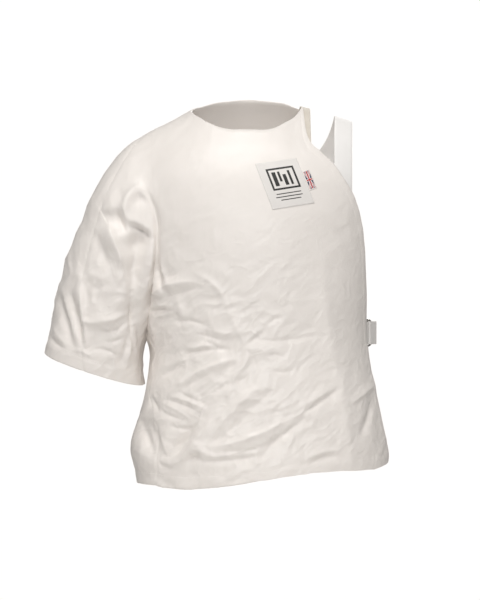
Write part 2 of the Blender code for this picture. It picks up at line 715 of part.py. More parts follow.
def waist_strap(finish):
    """The strap from under the back's edge, round the side, through the D and back over itself."""
    middle, out, up = ring_frame()
    flat = np.cross(out, up)
    lane = RING_WIRE / 2 + TAPE / 2 + 0.00035

    def beside(along, off):
        return (middle + along * out + off * flat)[:2]

    inner = [beside(0.008, -lane), beside(0.015, -lane), beside(0.022, -lane), beside(0.028, -0.0024)]
    turns = np.radians(np.linspace(*WAIST_STRAP_TURNS, 15))
    sunk = sunk_round_body(turns, RING_HEIGHT, CLOTH + UNDER_GAP + TAPE / 2)
    main = spaced([*inner, *WAIST_STRAP_BEND, *sunk], 44)
    along = np.gradient(main, axis=0)
    along /= np.linalg.norm(along, axis=1, keepdims=True)
    outward = np.stack([along[:, 1], -along[:, 0]], axis=-1)
    run = np.concatenate([[0], np.cumsum(np.linalg.norm(np.diff(main, axis=0), axis=1))])
    doubled = (main[:, 1] > 0.010) & (run < 0.020 + FREE_END)
    outer = (main + (TAPE + LAY_GAP) * outward)[doubled][::-1]
    bend = np.radians((30, 60, 90, 120, 150))
    through = [beside(0.008 - lane * math.sin(a), lane * math.cos(a)) for a in bend]
    threaded = [beside(place, lane) for place in (0.0285, 0.022, 0.015, 0.008)]
    line = np.concatenate([outer, threaded, through, main])
    turns = back_turn(line)
    share = np.clip((line[:, 1] - 0.02) / 0.035, 0, 1)
    return upright_strap("waist_strap", line, turns, share, WAIST_STRAP_WIDTH, finish)


def ring_tab(finish):
    """A loop of webbing round the D's bar, with both ends under the front's edge."""
    middle, out, up = ring_frame()
    flat = np.cross(out, up)
    lane = RING_WIRE / 2 + TAPE / 2 + 0.00035
    turns = np.radians(np.linspace(*TAB_TURNS, 7))
    depth = CLOTH + UNDER_GAP + TAPE / 2
    upper = sunk_round_body(turns, RING_HEIGHT, depth)
    lower = sunk_round_body(turns[:-1], RING_HEIGHT, depth + TAPE + LAY_GAP)[::-1]
    round_bar = []
    for degrees in (105, 75, 45, 15, -15, -45, -75, -105):
        angle = math.radians(degrees)
        round_bar.append((middle + lane * (math.cos(angle) * out + math.sin(angle) * flat))[:2])
    line = np.concatenate([upper, round_bar, lower])
    shares = [1.0] * len(upper) + [0.0] * len(round_bar) + [1.0] * len(lower)
    all_turns = np.concatenate([turns, [turns[-1]] * len(round_bar), turns[:-1][::-1]])
    return upright_strap("ring_tab", line, all_turns, shares, TAB_WIDTH, finish)


def patch_on_chest(name, corners, count, under, finish):
    """A small flat piece sewn onto the front, filled between its four corners."""
    s = np.linspace(0, 1, count[0])[None, :, None]
    t = np.linspace(0, 1, count[1])[:, None, None]
    top_left, top_right, low_right, low_left = np.array(corners)
    place = (1 - t) * ((1 - s) * top_left + s * top_right) + t * ((1 - s) * low_left + s * low_right)
    turns = turn_and_down(place.reshape(-1, 2), 1)
    grid = on_body(*turns.T).reshape(*place.shape[:2], 3)
    normals = normals_of(grid, np.array([0.0, 0.0, -0.3]))
    return wall(name, grid + (under + LAY_GAP + LABEL) * normals, normals, LABEL, finish)


def seam_mask(shape, edges):
    """Lets the folds die out towards the seams, so that pieces still meet there."""
    rows, columns = np.meshgrid(np.arange(shape[0]), np.arange(shape[1]), indexing="ij")
    far = {
        "first row": rows,
        "last row": shape[0] - 1 - rows,
        "first column": columns,
        "last column": shape[1] - 1 - columns,
    }
    mask = np.ones(shape)
    for edge in edges:
        mask *= np.clip(far[edge] / 2, 0, 1)
    return mask


def folded(grid, folds, inside, edges):
    """The grid with its folds, and its normals."""
    normals = normals_of(grid, inside)
    rise = fold_rise(grid, folds) * seam_mask(grid.shape[:2], edges)
    grid = grid + rise[..., None] * normals
    return grid, normals_of(grid, inside)


for old in list(bpy.data.objects):
    bpy.data.objects.remove(old, do_unlink=True)

cotton = material("heavy_cotton_front", (0.80, 0.76, 0.71), 0.9)
cotton_back = material("heavy_cotton_back", (0.78, 0.74, 0.69), 0.9)
cotton_sleeve = material("heavy_cotton_sleeve", (0.80, 0.76, 0.71), 0.9)
cotton_undersleeve = material("heavy_cotton_undersleeve", (0.76, 0.72, 0.67), 0.9)
cotton_tape = material("cotton_tape", (0.72, 0.67, 0.62), 0.85)
elastic = material("white_elastic", (0.82, 0.81, 0.79), 0.8)
webbing = material("white_webbing", (0.80, 0.79, 0.77), 0.8)
tab_webbing = material("tab_webbing", (0.76, 0.74, 0.71), 0.8)
nickel = material("nickel_plated_steel", (0.55, 0.54, 0.52), 0.3, 1.0)
woven_label = material("woven_label", (0.82, 0.81, 0.80), 0.6)
woven_tab = material("woven_tab", (0.60, 0.20, 0.20), 0.6)

torso_middle = np.array([0.015, 0.0, -0.30])
front, front_normals = folded(
    on_body(*np.moveaxis(front_grid(), -1, 0)), FRONT_FOLDS, torso_middle, ("first column", "last row")
)
back, back_normals = folded(
    on_body(*np.moveaxis(back_grid(), -1, 0)), BACK_FOLDS, torso_middle, ("first column", "last row")
)
sleeve_seams = ("first row", "first column", "last column")
sleeve_axis = sleeve_ring(np.linspace(0, 1, SLEEVE_STEPS + 1)[:, None], np.full((1, 1), math.pi / 2))
sleeve_axis = sleeve_axis * np.array([1, 0, 1])
plain_front, plain_back = sleeve_grids()
sleeve_front, sleeve_front_normals = folded(plain_front, SLEEVE_FRONT_FOLDS, sleeve_axis, sleeve_seams)
sleeve_back, sleeve_back_normals = folded(plain_back, SLEEVE_BACK_FOLDS, sleeve_axis, sleeve_seams)
grids = [front, back, sleeve_front, sleeve_back]
all_normals = [front_normals, back_normals, sleeve_front_normals, sleeve_back_normals]
share_normals(grids, all_normals)
all_rows, side_rows = slice(None), slice(0, SIDE_ROWS + 1)
side_seam = ((side_rows, 0), (side_rows, 1), SEAM_GAP / 2)
shoulder_seam = ((-1, slice(0, SHOULDER_STEPS + 1)), (-2, slice(0, SHOULDER_STEPS + 1)), SEAM_GAP / 2)
sleeve_moves = (
    ((0, all_rows), (1, all_rows), SEAM_GAP),
    ((all_rows, 0), (all_rows, 1), SEAM_GAP / 2),
    ((all_rows, -1), (all_rows, -2), SEAM_GAP / 2),
)
torso_moves = (side_seam, shoulder_seam)
names = ("front", "back", "sleeve_front", "sleeve_back")
moves = (torso_moves, torso_moves, sleeve_moves, sleeve_moves)
finishes = (cotton, cotton_back, cotton_sleeve, cotton_undersleeve)
for panel in zip(names, grids, all_normals, moves, finishes):
    panel_name, panel_grid, panel_normals, panel_moves, panel_finish = panel
    wall(panel_name, drawn_in(panel_grid, panel_normals, panel_moves), panel_normals, CLOTH, panel_finish)

strap_over_shoulder("neck_tape", NECK_TAPE_PATH, NECK_TAPE_WIDTH, 22, NECK_TAPE_UNDER, cotton_tape)
strap_over_shoulder("shoulder_strap", SHOULDER_STRAP_PATH, SHOULDER_STRAP_WIDTH, 40, UNDER_GAP, elastic)
waist_strap(webbing)
ring_tab(tab_webbing)
d_ring(nickel)
patch_on_chest("label", LABEL_CORNERS, (8, 9), 0.0, woven_label)
patch_on_chest("edge_tab", EDGE_TAB_CORNERS, (3, 5), 0.0, woven_tab)
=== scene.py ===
import math

import bpy
import numpy as np
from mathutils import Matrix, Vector


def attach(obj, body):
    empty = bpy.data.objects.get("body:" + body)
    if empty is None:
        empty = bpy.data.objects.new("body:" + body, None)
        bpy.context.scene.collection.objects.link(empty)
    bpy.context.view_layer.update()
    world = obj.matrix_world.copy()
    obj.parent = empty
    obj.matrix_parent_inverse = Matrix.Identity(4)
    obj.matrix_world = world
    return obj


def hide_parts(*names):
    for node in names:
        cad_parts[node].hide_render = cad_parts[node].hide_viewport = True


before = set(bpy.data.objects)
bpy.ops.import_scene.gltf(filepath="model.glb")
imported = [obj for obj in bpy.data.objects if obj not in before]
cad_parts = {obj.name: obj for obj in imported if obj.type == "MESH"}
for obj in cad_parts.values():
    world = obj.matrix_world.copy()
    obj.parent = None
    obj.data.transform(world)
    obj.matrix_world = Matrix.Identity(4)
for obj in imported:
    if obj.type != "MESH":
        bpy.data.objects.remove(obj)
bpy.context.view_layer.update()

# A fencing plastron as it is worn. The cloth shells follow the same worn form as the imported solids, with
# finer folds. Metres throughout, but the tables are in millimetres. The front faces -Y.

wornForm = {
    "squareness": 2.3,  # 2 is an ellipse, more is squarer
    "shoulderRound": 120,  # drop over which the shoulder turns to the full depth
    "clothThickness": 2.0,
    "detail": 8,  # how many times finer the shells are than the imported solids
    "cells": {"side": 17, "arm": 19, "shoulder": 7, "frontNeck": 25, "backNeck": 16},  # of the solids
    "sections": [  # height, left, right, front, back
        (-620, -176, 222, 122, 112), (-585, -182, 227.5, 122, 112), (-560, -189, 228.5, 122, 110),
        (-538, -188, 226.5, 121, 108), (-505, -178, 220.5, 119, 102), (-473, -168, 213.5, 118, 97),
        (-449, -163, 208.5, 117, 93), (-426, -160, 203, 116, 91), (-395, -157, 198, 116, 90),
        (-368, -163, 196, 117, 91), (-340, -168, 197, 119, 93), (-311, -173, 199.5, 122, 96),
        (-271, -179, 202, 126, 101), (-208, -186, 207, 130, 109), (-160, -190, 211, 129, 112),
        (-120, -193, 214, 122, 110), (-80, -195, 217, 106, 102), (-37, -198, 220, 82, 88),
        (20, -200, 222, 70, 70), (60, -200, 222, 66, 64),
    ],
    "shoulders": [  # across, height
        (-200, -60), (-175, -46), (-158.8, -37.2), (-134.5, -27.5), (-112, -15.4), (-92.4, -4), (-75, 9),
        (-50, 25), (0, 42), (50, 27), (75, 12), (90, 5.5), (102, 3), (120, -3), (141, -9.7), (170, -18.6),
        (200, -34),
    ],
}
sectionTable = np.array(wornForm["sections"]) / 1000
shoulderTable = np.array(wornForm["shoulders"]) / 1000
squareness = wornForm["squareness"]
shoulderRound = wornForm["shoulderRound"] / 1000
clothThickness = wornForm["clothThickness"] / 1000
detail = wornForm["detail"]
sideCount, armCount, shoulderCount = (wornForm["cells"][k] * detail for k in ("side", "arm", "shoulder"))


# A smooth curve through values at rising places: cubic pieces whose end slopes are the mean of both sides.
def smoothCurve(at, places, values):
    steps = np.diff(values) / np.diff(places)
    slopes = np.concatenate([steps[:1], (steps[:-1] + steps[1:]) / 2, steps[-1:]])
    at = np.clip(at, places[0], places[-1])
    i = np.clip(np.searchsorted(places, at, side="right") - 1, 0, len(places) - 2)
    wide = places[i + 1] - places[i]
    t = (at - places[i]) / wide
    return (
        (2 * t**3 - 3 * t**2 + 1) * values[i] + (t**3 - 2 * t**2 + t) * wide * slopes[i]
        + (3 * t**2 - 2 * t**3) * values[i + 1] + (t**3 - t**2) * wide * slopes[i + 1]
    )


# Distance from a line's first point to each of its points: the running sum of its steps.
def runAlong(points):
    return np.concatenate([[0], np.cumsum(np.linalg.norm(np.diff(points, axis=0), axis=1))])


# Rows of values that are known along a run, read at other places: straight between neighbours.
def readAt(places, run, values):
    return np.stack([np.interp(places, run, values[:, k]) for k in range(values.shape[1])], axis=-1)


# Vectors divided by their lengths.
def madeUnit(vectors):
    return vectors / np.linalg.norm(vectors, axis=-1, keepdims=True)


# The size of each value to a power, with the value's sign: what squares off an ellipse.
def signedPower(values, power):
    return np.sign(values) * np.abs(values) ** power


# 1 where away is 0, falling off as a bell: to about a third at the reach.
def bell(away, reach):
    return np.exp(-((away / reach) ** 2))


# Section of the body at a height: its middle, half width, front depth and back depth.
def bodySection(z):
    left, right, front, back = (smoothCurve(z, sectionTable[:, 0], sectionTable[:, k]) for k in (1, 2, 3, 4))
    return (left + right) / 2, (right - left) / 2, front, back


# Height of the shoulder line at a place across.
def shoulderHeight(x):
    return smoothCurve(x, shoulderTable[:, 0], shoulderTable[:, 1])


# Down the cloth: a quarter circle over the shoulder, then straight. One function each way.
def dropOf(down):
    bend = np.clip(down / shoulderRound, 0, math.pi / 2)
    return shoulderRound * (1 - np.cos(bend)) + np.maximum(down - shoulderRound * math.pi / 2, 0)


def downOf(drop):
    bend = np.arccos(np.clip(1 - drop / shoulderRound, 0, 1))
    return shoulderRound * bend + np.maximum(drop - shoulderRound, 0)


# Share of the full depth: 0 on the shoulder line, 1 below the shoulder, along a squared-off quarter circle.
def depthShare(down):
    bend = np.clip(down / shoulderRound, 0, math.pi / 2)
    return (1 - np.cos(bend) ** squareness) ** (1 / squareness)


# A point of the body. Turn runs from the front middle towards +X, down is the distance from the shoulder.
# Width follows from height and the shoulder's height from the place across, so they settle in rounds.
def onBody(turn, down, rounds=12):
    turn, down = np.broadcast_arrays(turn, down)
    sideways = signedPower(np.sin(turn), 2 / squareness)
    outward = np.abs(np.cos(turn)) ** (2 / squareness)
    z = -dropOf(down)
    for _ in range(rounds):
        middle, half, front, back = bodySection(z)
        z = shoulderHeight(middle + half * sideways) - dropOf(down)
    deep = np.where(np.cos(turn) > 0, -front, back)
    return np.stack([middle + half * sideways, deep * outward * depthShare(down), z], axis=-1)


# Turn and down of places (across, height) on the front (facing 1) or the back (facing -1).
def turnAndDown(places, facing):
    places = np.asarray(places, float)
    middle, half, _, _ = bodySection(places[:, 1])
    u = np.clip((places[:, 0] - middle) / half, -1, 1)
    turn = np.arcsin(signedPower(u, squareness / 2))
    turn = turn if facing > 0 else -math.pi - turn
    return np.stack([turn, downOf(np.maximum(shoulderHeight(places[:, 0]) - places[:, 1], 0))], axis=-1)


# Evenly spaced points along a smooth curve through a few.
def spacedAlong(points, count):
    points = np.asarray(points, float)
    length = runAlong(points)
    fine = np.linspace(0, length[-1], 40 * len(points))
    curve = np.stack([smoothCurve(fine, length, points[:, k]) for k in range(points.shape[1])], axis=-1)
    run = runAlong(curve)
    return readAt(np.linspace(0, run[-1], count), run, curve)


# Fills four edges with a grid: each point blends the edges and takes away the blend of the corners.
def filledBetween(bottom, top, left, right):
    s = np.linspace(0, 1, len(bottom))[None, :, None]
    t = np.linspace(0, 1, len(left))[:, None, None]
    corners = (1 - t) * ((1 - s) * bottom[0] + s * bottom[-1]) + t * ((1 - s) * top[0] + s * top[-1])
    return (1 - t) * bottom + t * top + (1 - s) * left[:, None] + s * right[:, None] - corners


# Curves end to end as one, without the points that repeat.
def joined(*curves):
    return np.concatenate([curves[0]] + [curve[1:] for curve in curves[1:]])


# Unit normals of a grid, on the side away from a middle.
def gridNormals(grid, middle):
    normals = np.cross(np.gradient(grid, axis=0), np.gradient(grid, axis=1))
    normals /= np.maximum(np.linalg.norm(normals, axis=-1, keepdims=True), 1e-12)  # never 0
    return -normals if ((grid - middle) * normals).sum() < 0 else normals


# Cut lines of the panels, as places across and heights.
cutLines = {
    "armhole": [
        (-158.8, -37.2), (-157.7, -63.1), (-157.1, -88.1), (-154.1, -120.7), (-150.7, -144.8),
        (-145.8, -173.5), (-144.2, -208.3), (-145.9, -239.8), (-150.1, -271.4), (-154.6, -303),
        (-158.7, -335), (-163, -368),
    ],
    "shoulderSeam": [(-158.8, -37.2), (-134.5, -27.5), (-112, -15.4), (-92.4, -4)],
    "frontNeck": [
        (-92.4, -4), (-90.6, -9.2), (-73, -23.2), (-56.8, -32.6), (-38.7, -38.9), (-19.3, -41.5),
        (10.7, -41.6), (38.5, -39.8), (58.6, -29.4), (75, -18.1), (87.7, -1.3),
    ],
    "backNeck": [(-92.4, -4), (-75, 4), (-45, 12.5), (0, 17), (45, 12.5), (72, 5), (87.7, -1.3)],
    "frontEdgeHigh": [
        (87.7, -1.3), (89.5, -22.7), (92.2, -44.7), (98.9, -61.4), (116.5, -78.2), (135.7, -98),
        (150.1, -119), (161.6, -136.6), (169.8, -154.4), (178, -181.8), (183.2, -212.5), (185.6, -241),
        (187.6, -279), (188.9, -311), (189.6, -359),
    ],
    "frontEdgeLow": [
        (189.6, -359), (191.8, -391.3), (198, -427), (207.4, -472.4), (216, -513), (222.5, -542.3),
        (224.8, -561.9), (223.5, -571.8),
    ],
    "backEdgeHigh": [
        (87.7, -1.3), (86, -20), (74, -60), (58, -110), (44, -170), (34, -250), (28, -350),
    ],
    "backEdgeLow": [(28, -350), (26, -450), (26, -585)],
    "sideSeam": [
        (-163, -368), (-156, -393), (-156.8, -425), (-158, -449), (-155.8, -469.8), (-151.7, -499),
        (-146.9, -530.2), (-146.1, -564.7), (-146.2, -604.3),
    ],
    "frontHem": [
        (-146.2, -604.3), (-123.4, -607.6), (-91.5, -608.5), (-44.3, -603.7), (2.6, -596.4), (49.6, -588.8),
        (81, -584.5), (112.6, -581), (144.5, -579.5), (168.8, -579.8), (197, -579.5), (211.5, -576.5),
        (223.5, -571.8),
    ],
    "backHem": [(-75, -604.5), (-90, -605.8), (-110, -604.5), (-135, -600.5), (-160, -594.5)],  # turn, height
}


# A cut line as evenly spaced points in turn and down.
def cutLine(name, facing, count, backwards=False):
    places = np.array(cutLines[name]) / 1000
    return spacedAlong(turnAndDown(places[::-1] if backwards else places, facing), count)


# Evens a grid out inside its edges: each point moves to the mean of its four neighbours, again and again.
def evenedOut(grid, sweeps=64):
    grid = grid.copy()
    for _ in range(sweeps):
        grid[1:-1, 1:-1] = (grid[2:, 1:-1] + grid[:-2, 1:-1] + grid[1:-1, 2:] + grid[1:-1, :-2]) / 4
    return grid


backHem = np.array(cutLines["backHem"])


# A panel in turn and down, from the hem up and from the side seam to the free edge: front 1, back -1.
def torsoPanel(name, facing):
    neckCount = wornForm["cells"][name + "Neck"] * detail
    top = cutLine("shoulderSeam", facing, shoulderCount + 1)
    top[:, 1] = 0
    sideEdge = cutLine("sideSeam", 1, sideCount + 1, True)
    freeEdge = cutLine(name + "EdgeLow", facing, sideCount + 1, True)
    if facing > 0:
        hem = cutLine("frontHem", 1, shoulderCount + neckCount + 1)
    else:
        turn, height = np.radians(backHem[:, 0]), backHem[:, 1] / 1000
        middle, half, _, _ = bodySection(height)
        x = middle + half * signedPower(np.sin(turn), 2 / squareness)
        low = np.stack([turn, downOf(shoulderHeight(x) - height)], axis=-1)
        hem = spacedAlong(np.concatenate([sideEdge[:1], low, freeEdge[:1]]), shoulderCount + neckCount + 1)
    return filledBetween(
        hem, joined(top, cutLine(name + "Neck", facing, neckCount + 1)),
        joined(sideEdge, cutLine("armhole", facing, armCount + 1)[::-1]),
        joined(freeEdge, cutLine(name + "EdgeHigh", facing, armCount + 1, True)),
    )


sleeveForm = {
    "squareness": 2.2,
    "rings": 240,  # steps from the armhole to the cuff
    "sections": [  # along, outer x, outer z, inner x, inner z, front, back, seam angle, dip of the middle
        (0.000, -158.8, -37.2, -163.0, -368.0, 90, 92, 0, 0),
        (0.095, -191.2, -58.3, -165.5, -374.5, 90, 91, 22, 0),
        (0.238, -230.0, -102.0, -169.0, -385.0, 89, 88, 40, 0),
        (0.455, -269.0, -181.4, -171.2, -399.0, 85, 83, 52, 1),
        (0.679, -299.7, -267.3, -171.4, -415.0, 78, 77, 63, 3),
        (0.890, -319.2, -351.5, -170.2, -435.0, 70, 70, 76, 6),
        (1.000, -328.9, -395.2, -169.0, -446.3, 66, 66, 82, 7),
    ],
}
sleeveTable = np.array(sleeveForm["sections"])
sleeveAlong = np.linspace(0, 1, sleeveForm["rings"] + 1)[:, None]


# Ring of the sleeve: a squared-off ellipse between its outer and inner end, dipping at front and back.
def sleeveRing(along, angle):
    outX, outZ, inX, inZ, front, back, _, dip = (
        smoothCurve(along, sleeveTable[:, 0], sleeveTable[:, k]) for k in range(1, 9)
    )
    power = 2 / sleeveForm["squareness"]
    lengthwise, outward = signedPower(np.cos(angle), power), signedPower(np.sin(angle), power)
    x = (outX + inX) / 2 + lengthwise * (outX - inX) / 2
    z = (outZ + inZ) / 2 + lengthwise * (outZ - inZ) / 2 - dip * np.abs(outward)
    return np.stack([x, -np.where(np.sin(angle) > 0, front, back) * outward, z], axis=-1) / 1000


# Ring angles that share out half a ring as the points share out the armhole.
def armholeAngles(points, steps=200):
    fine = np.linspace(0, math.pi, steps)
    ringRun, run = runAlong(sleeveRing(np.zeros(steps), fine)), runAlong(points)
    return np.interp(run / run[-1], ringRun / ringRun[-1], fine)


# Both halves of the sleeve: rings from the armhole to the cuff, bent at the top to meet the armhole.
def sleevePanels():
    frontHole, backHole = (onBody(*cutLine("armhole", facing, armCount + 1).T) for facing in (1, -1))
    frontAngles, backAngles = armholeAngles(frontHole), 2 * math.pi - armholeAngles(backHole)
    known = np.concatenate([frontAngles, backAngles[::-1][1:]])
    shift = np.concatenate([frontHole, backHole[::-1][1:]]) - sleeveRing(np.zeros(len(known)), known)
    seam = np.radians(smoothCurve(sleeveAlong, sleeveTable[:, 0], sleeveTable[:, 7]))
    panels = []
    for angles in (frontAngles, backAngles):
        angle = angles[None, :] + seam * np.abs(1 - angles / math.pi)[None, :]
        wrapped = np.mod(angle, 2 * math.pi)
        wrapped = np.where((angle > math.pi) & (wrapped == 0), 2 * math.pi, wrapped)
        plain = sleeveRing(np.broadcast_to(sleeveAlong, angle.shape), angle)
        panels.append(plain + (1 - sleeveAlong[..., None]) ** 2 * readAt(wrapped, known, shift))
    return panels


foldForm = {
    "crestRound": 0.0013,  # metres: the grid couldn't follow sharper crests and troughs
    "reach": (4.5, 0.01),  # a fold is worked out this many widths, and metres, beyond its line
    "steps": 14,  # straight pieces that its line is made of
    "length": (0.05, 0.9, 0.8),  # the part of a half wave its height follows, and a power that fills it out
}


# A fold is a ridge (rise above 0) or trough along a bent line. Its height falls off with the distance from
# the line to a power, sooner on the side with the smaller width, and dies away towards both ends.
def foldField(places, rows):
    rise = np.zeros(len(places))
    crestRound, steps = foldForm["crestRound"], foldForm["steps"]
    widths, beyond = foldForm["reach"]
    start, part, fill = foldForm["length"]
    t = np.linspace(0, 1, steps + 1)[:, None]
    for x0, z0, xm, zm, x1, z1, leftWidth, rightWidth, height, power in np.asarray(rows, float):
        ends = np.array([[x0, z0], [xm, zm], [x1, z1]]) / 1000
        bend = 2 * ends[1] - (ends[0] + ends[2]) / 2
        reach = widths * max(leftWidth, rightWidth) / 1000 + beyond
        near = (np.abs(places - ends.mean(0)) < np.ptp(ends, axis=0) / 2 + reach).all(1)
        if not near.any():
            continue
        here = places[near][:, None]
        line = (1 - t) ** 2 * ends[0] + 2 * t * (1 - t) * bend + t**2 * ends[2]
        step = np.diff(line, axis=0)
        share = np.clip(((here - line[:-1]) * step).sum(-1) / (step**2).sum(-1), 0, 1)
        away = here - line[:-1] - share[..., None] * step
        distance = np.sqrt((away**2).sum(-1) + crestRound**2) - crestRound
        nearest = distance.argmin(1)
        pick = np.arange(len(nearest)), nearest
        toLeft = step[nearest, 0] * away[pick][:, 1] - step[nearest, 1] * away[pick][:, 0] > 0
        width = np.where(toLeft, leftWidth, rightWidth) / 1000
        run = (nearest + share[pick]) / steps
        fade = np.sin(math.pi * (start + part * run)) ** fill
        rise[near] += height / 1000 * fade * np.exp(-((distance[pick] / width) ** power))
    return rise


noiseForm = {
    "apart": 37.7,  # cells from one seed's noise to the next one's
    "stir": np.array([[127.1, 269.5], [311.7, 183.3], [74.7, 246.1]]), "spread": 43758.5,  # unrelated numbers
    "height": 1.6,  # brings the sum to about -1 to 1
}


# Smooth seeded noise between about -1 and 1: each corner of a cell has a slope that points its own way, and
# the eight slopes are blended over the cell.
def smoothNoise(points, cell, seed):
    scaled = points * 1000 / cell + noiseForm["apart"] * seed
    low = np.floor(scaled)
    part = scaled - low
    share = part**3 * (part * (6 * part - 15) + 10)
    total = 0
    for corner in np.ndindex(2, 2, 2):
        at = (low + corner) @ noiseForm["stir"]
        picked = np.modf(np.abs(np.sin(at) * noiseForm["spread"]))[0]
        turn, height = 2 * math.pi * picked[..., 0], 2 * picked[..., 1] - 1
        flat = np.sqrt(1 - height**2)
        away = part - corner
        slope = flat * (np.cos(turn) * away[..., 0] + np.sin(turn) * away[..., 1]) + height * away[..., 2]
        total = total + slope * np.prod(np.where(corner, share, 1 - share), axis=-1)
    return noiseForm["height"] * total


# A value that rises softly from 0 at low to 1 at high.
def eased(low, high, values):
    t = np.clip((values - low) / (high - low), 0, 1)
    return t * t * (3 - 2 * t)


crumpling = {
    "cells": [(58, 4.6), (30, 3.2), (15, 1.6), (8, 0.55)],  # size of the creased patches and their height
    "bend": 0.55,  # how far the creases wander, in cells
    "bendCell": 45, "bendSeeds": (21, 22, 23),  # the noise that bends them
    "drawnOut": 0.5,  # less than 1 draws the creases out along their slant, up to the wearer's left
    "crest": 0.4, "crestRound": 0.003,  # how far crests stand over the mean, and how blunt they are
    "everywhere": 0.26, "least": 0.02,  # share of the crumple outside the zones, and the least anywhere
    "zones": [  # across, height, reach, and how much more the cloth is crumpled there
        (-40, -440, 105, 0.85), (-132, -330, 60, 0.5), (-70, -540, 90, 0.6), (75, -500, 80, 0.35),
        (-222, -300, 95, 0.8), (-190, -180, 60, 0.3), (60, -128, 50, -0.25), (0, -180, 90, -0.08),
        (145, -330, 90, -0.18),
    ],
}


# Fine crumple: the crests' height less the size of bent noise, so there are crests where the noise passes 0
# and soft hollows between them. The root rounds the crests.
def crumple(points):
    seeds = crumpling["bendSeeds"]
    bend = np.stack([smoothNoise(points, crumpling["bendCell"], seed) for seed in seeds], axis=-1)
    slant = np.array([1, 0, 1]) / math.sqrt(2)
    drawn = points - (points @ slant)[..., None] * slant * (1 - crumpling["drawnOut"])
    total = 0
    for seed, (cell, height) in enumerate(crumpling["cells"]):
        noise = smoothNoise(drawn + bend * crumpling["bend"] * cell / 1000, cell, seed + 1)
        total = total + height / 1000 * (crumpling["crest"] - np.sqrt(noise**2 + crumpling["crestRound"]))
    amount = crumpling["everywhere"]
    for x, z, reach, more in crumpling["zones"]:
        away = (points[..., 0] * 1000 - x) ** 2 + (points[..., 2] * 1000 - z) ** 2
        amount = amount + more * np.exp(-away / reach**2)
    return total * np.clip(amount, crumpling["least"], None)


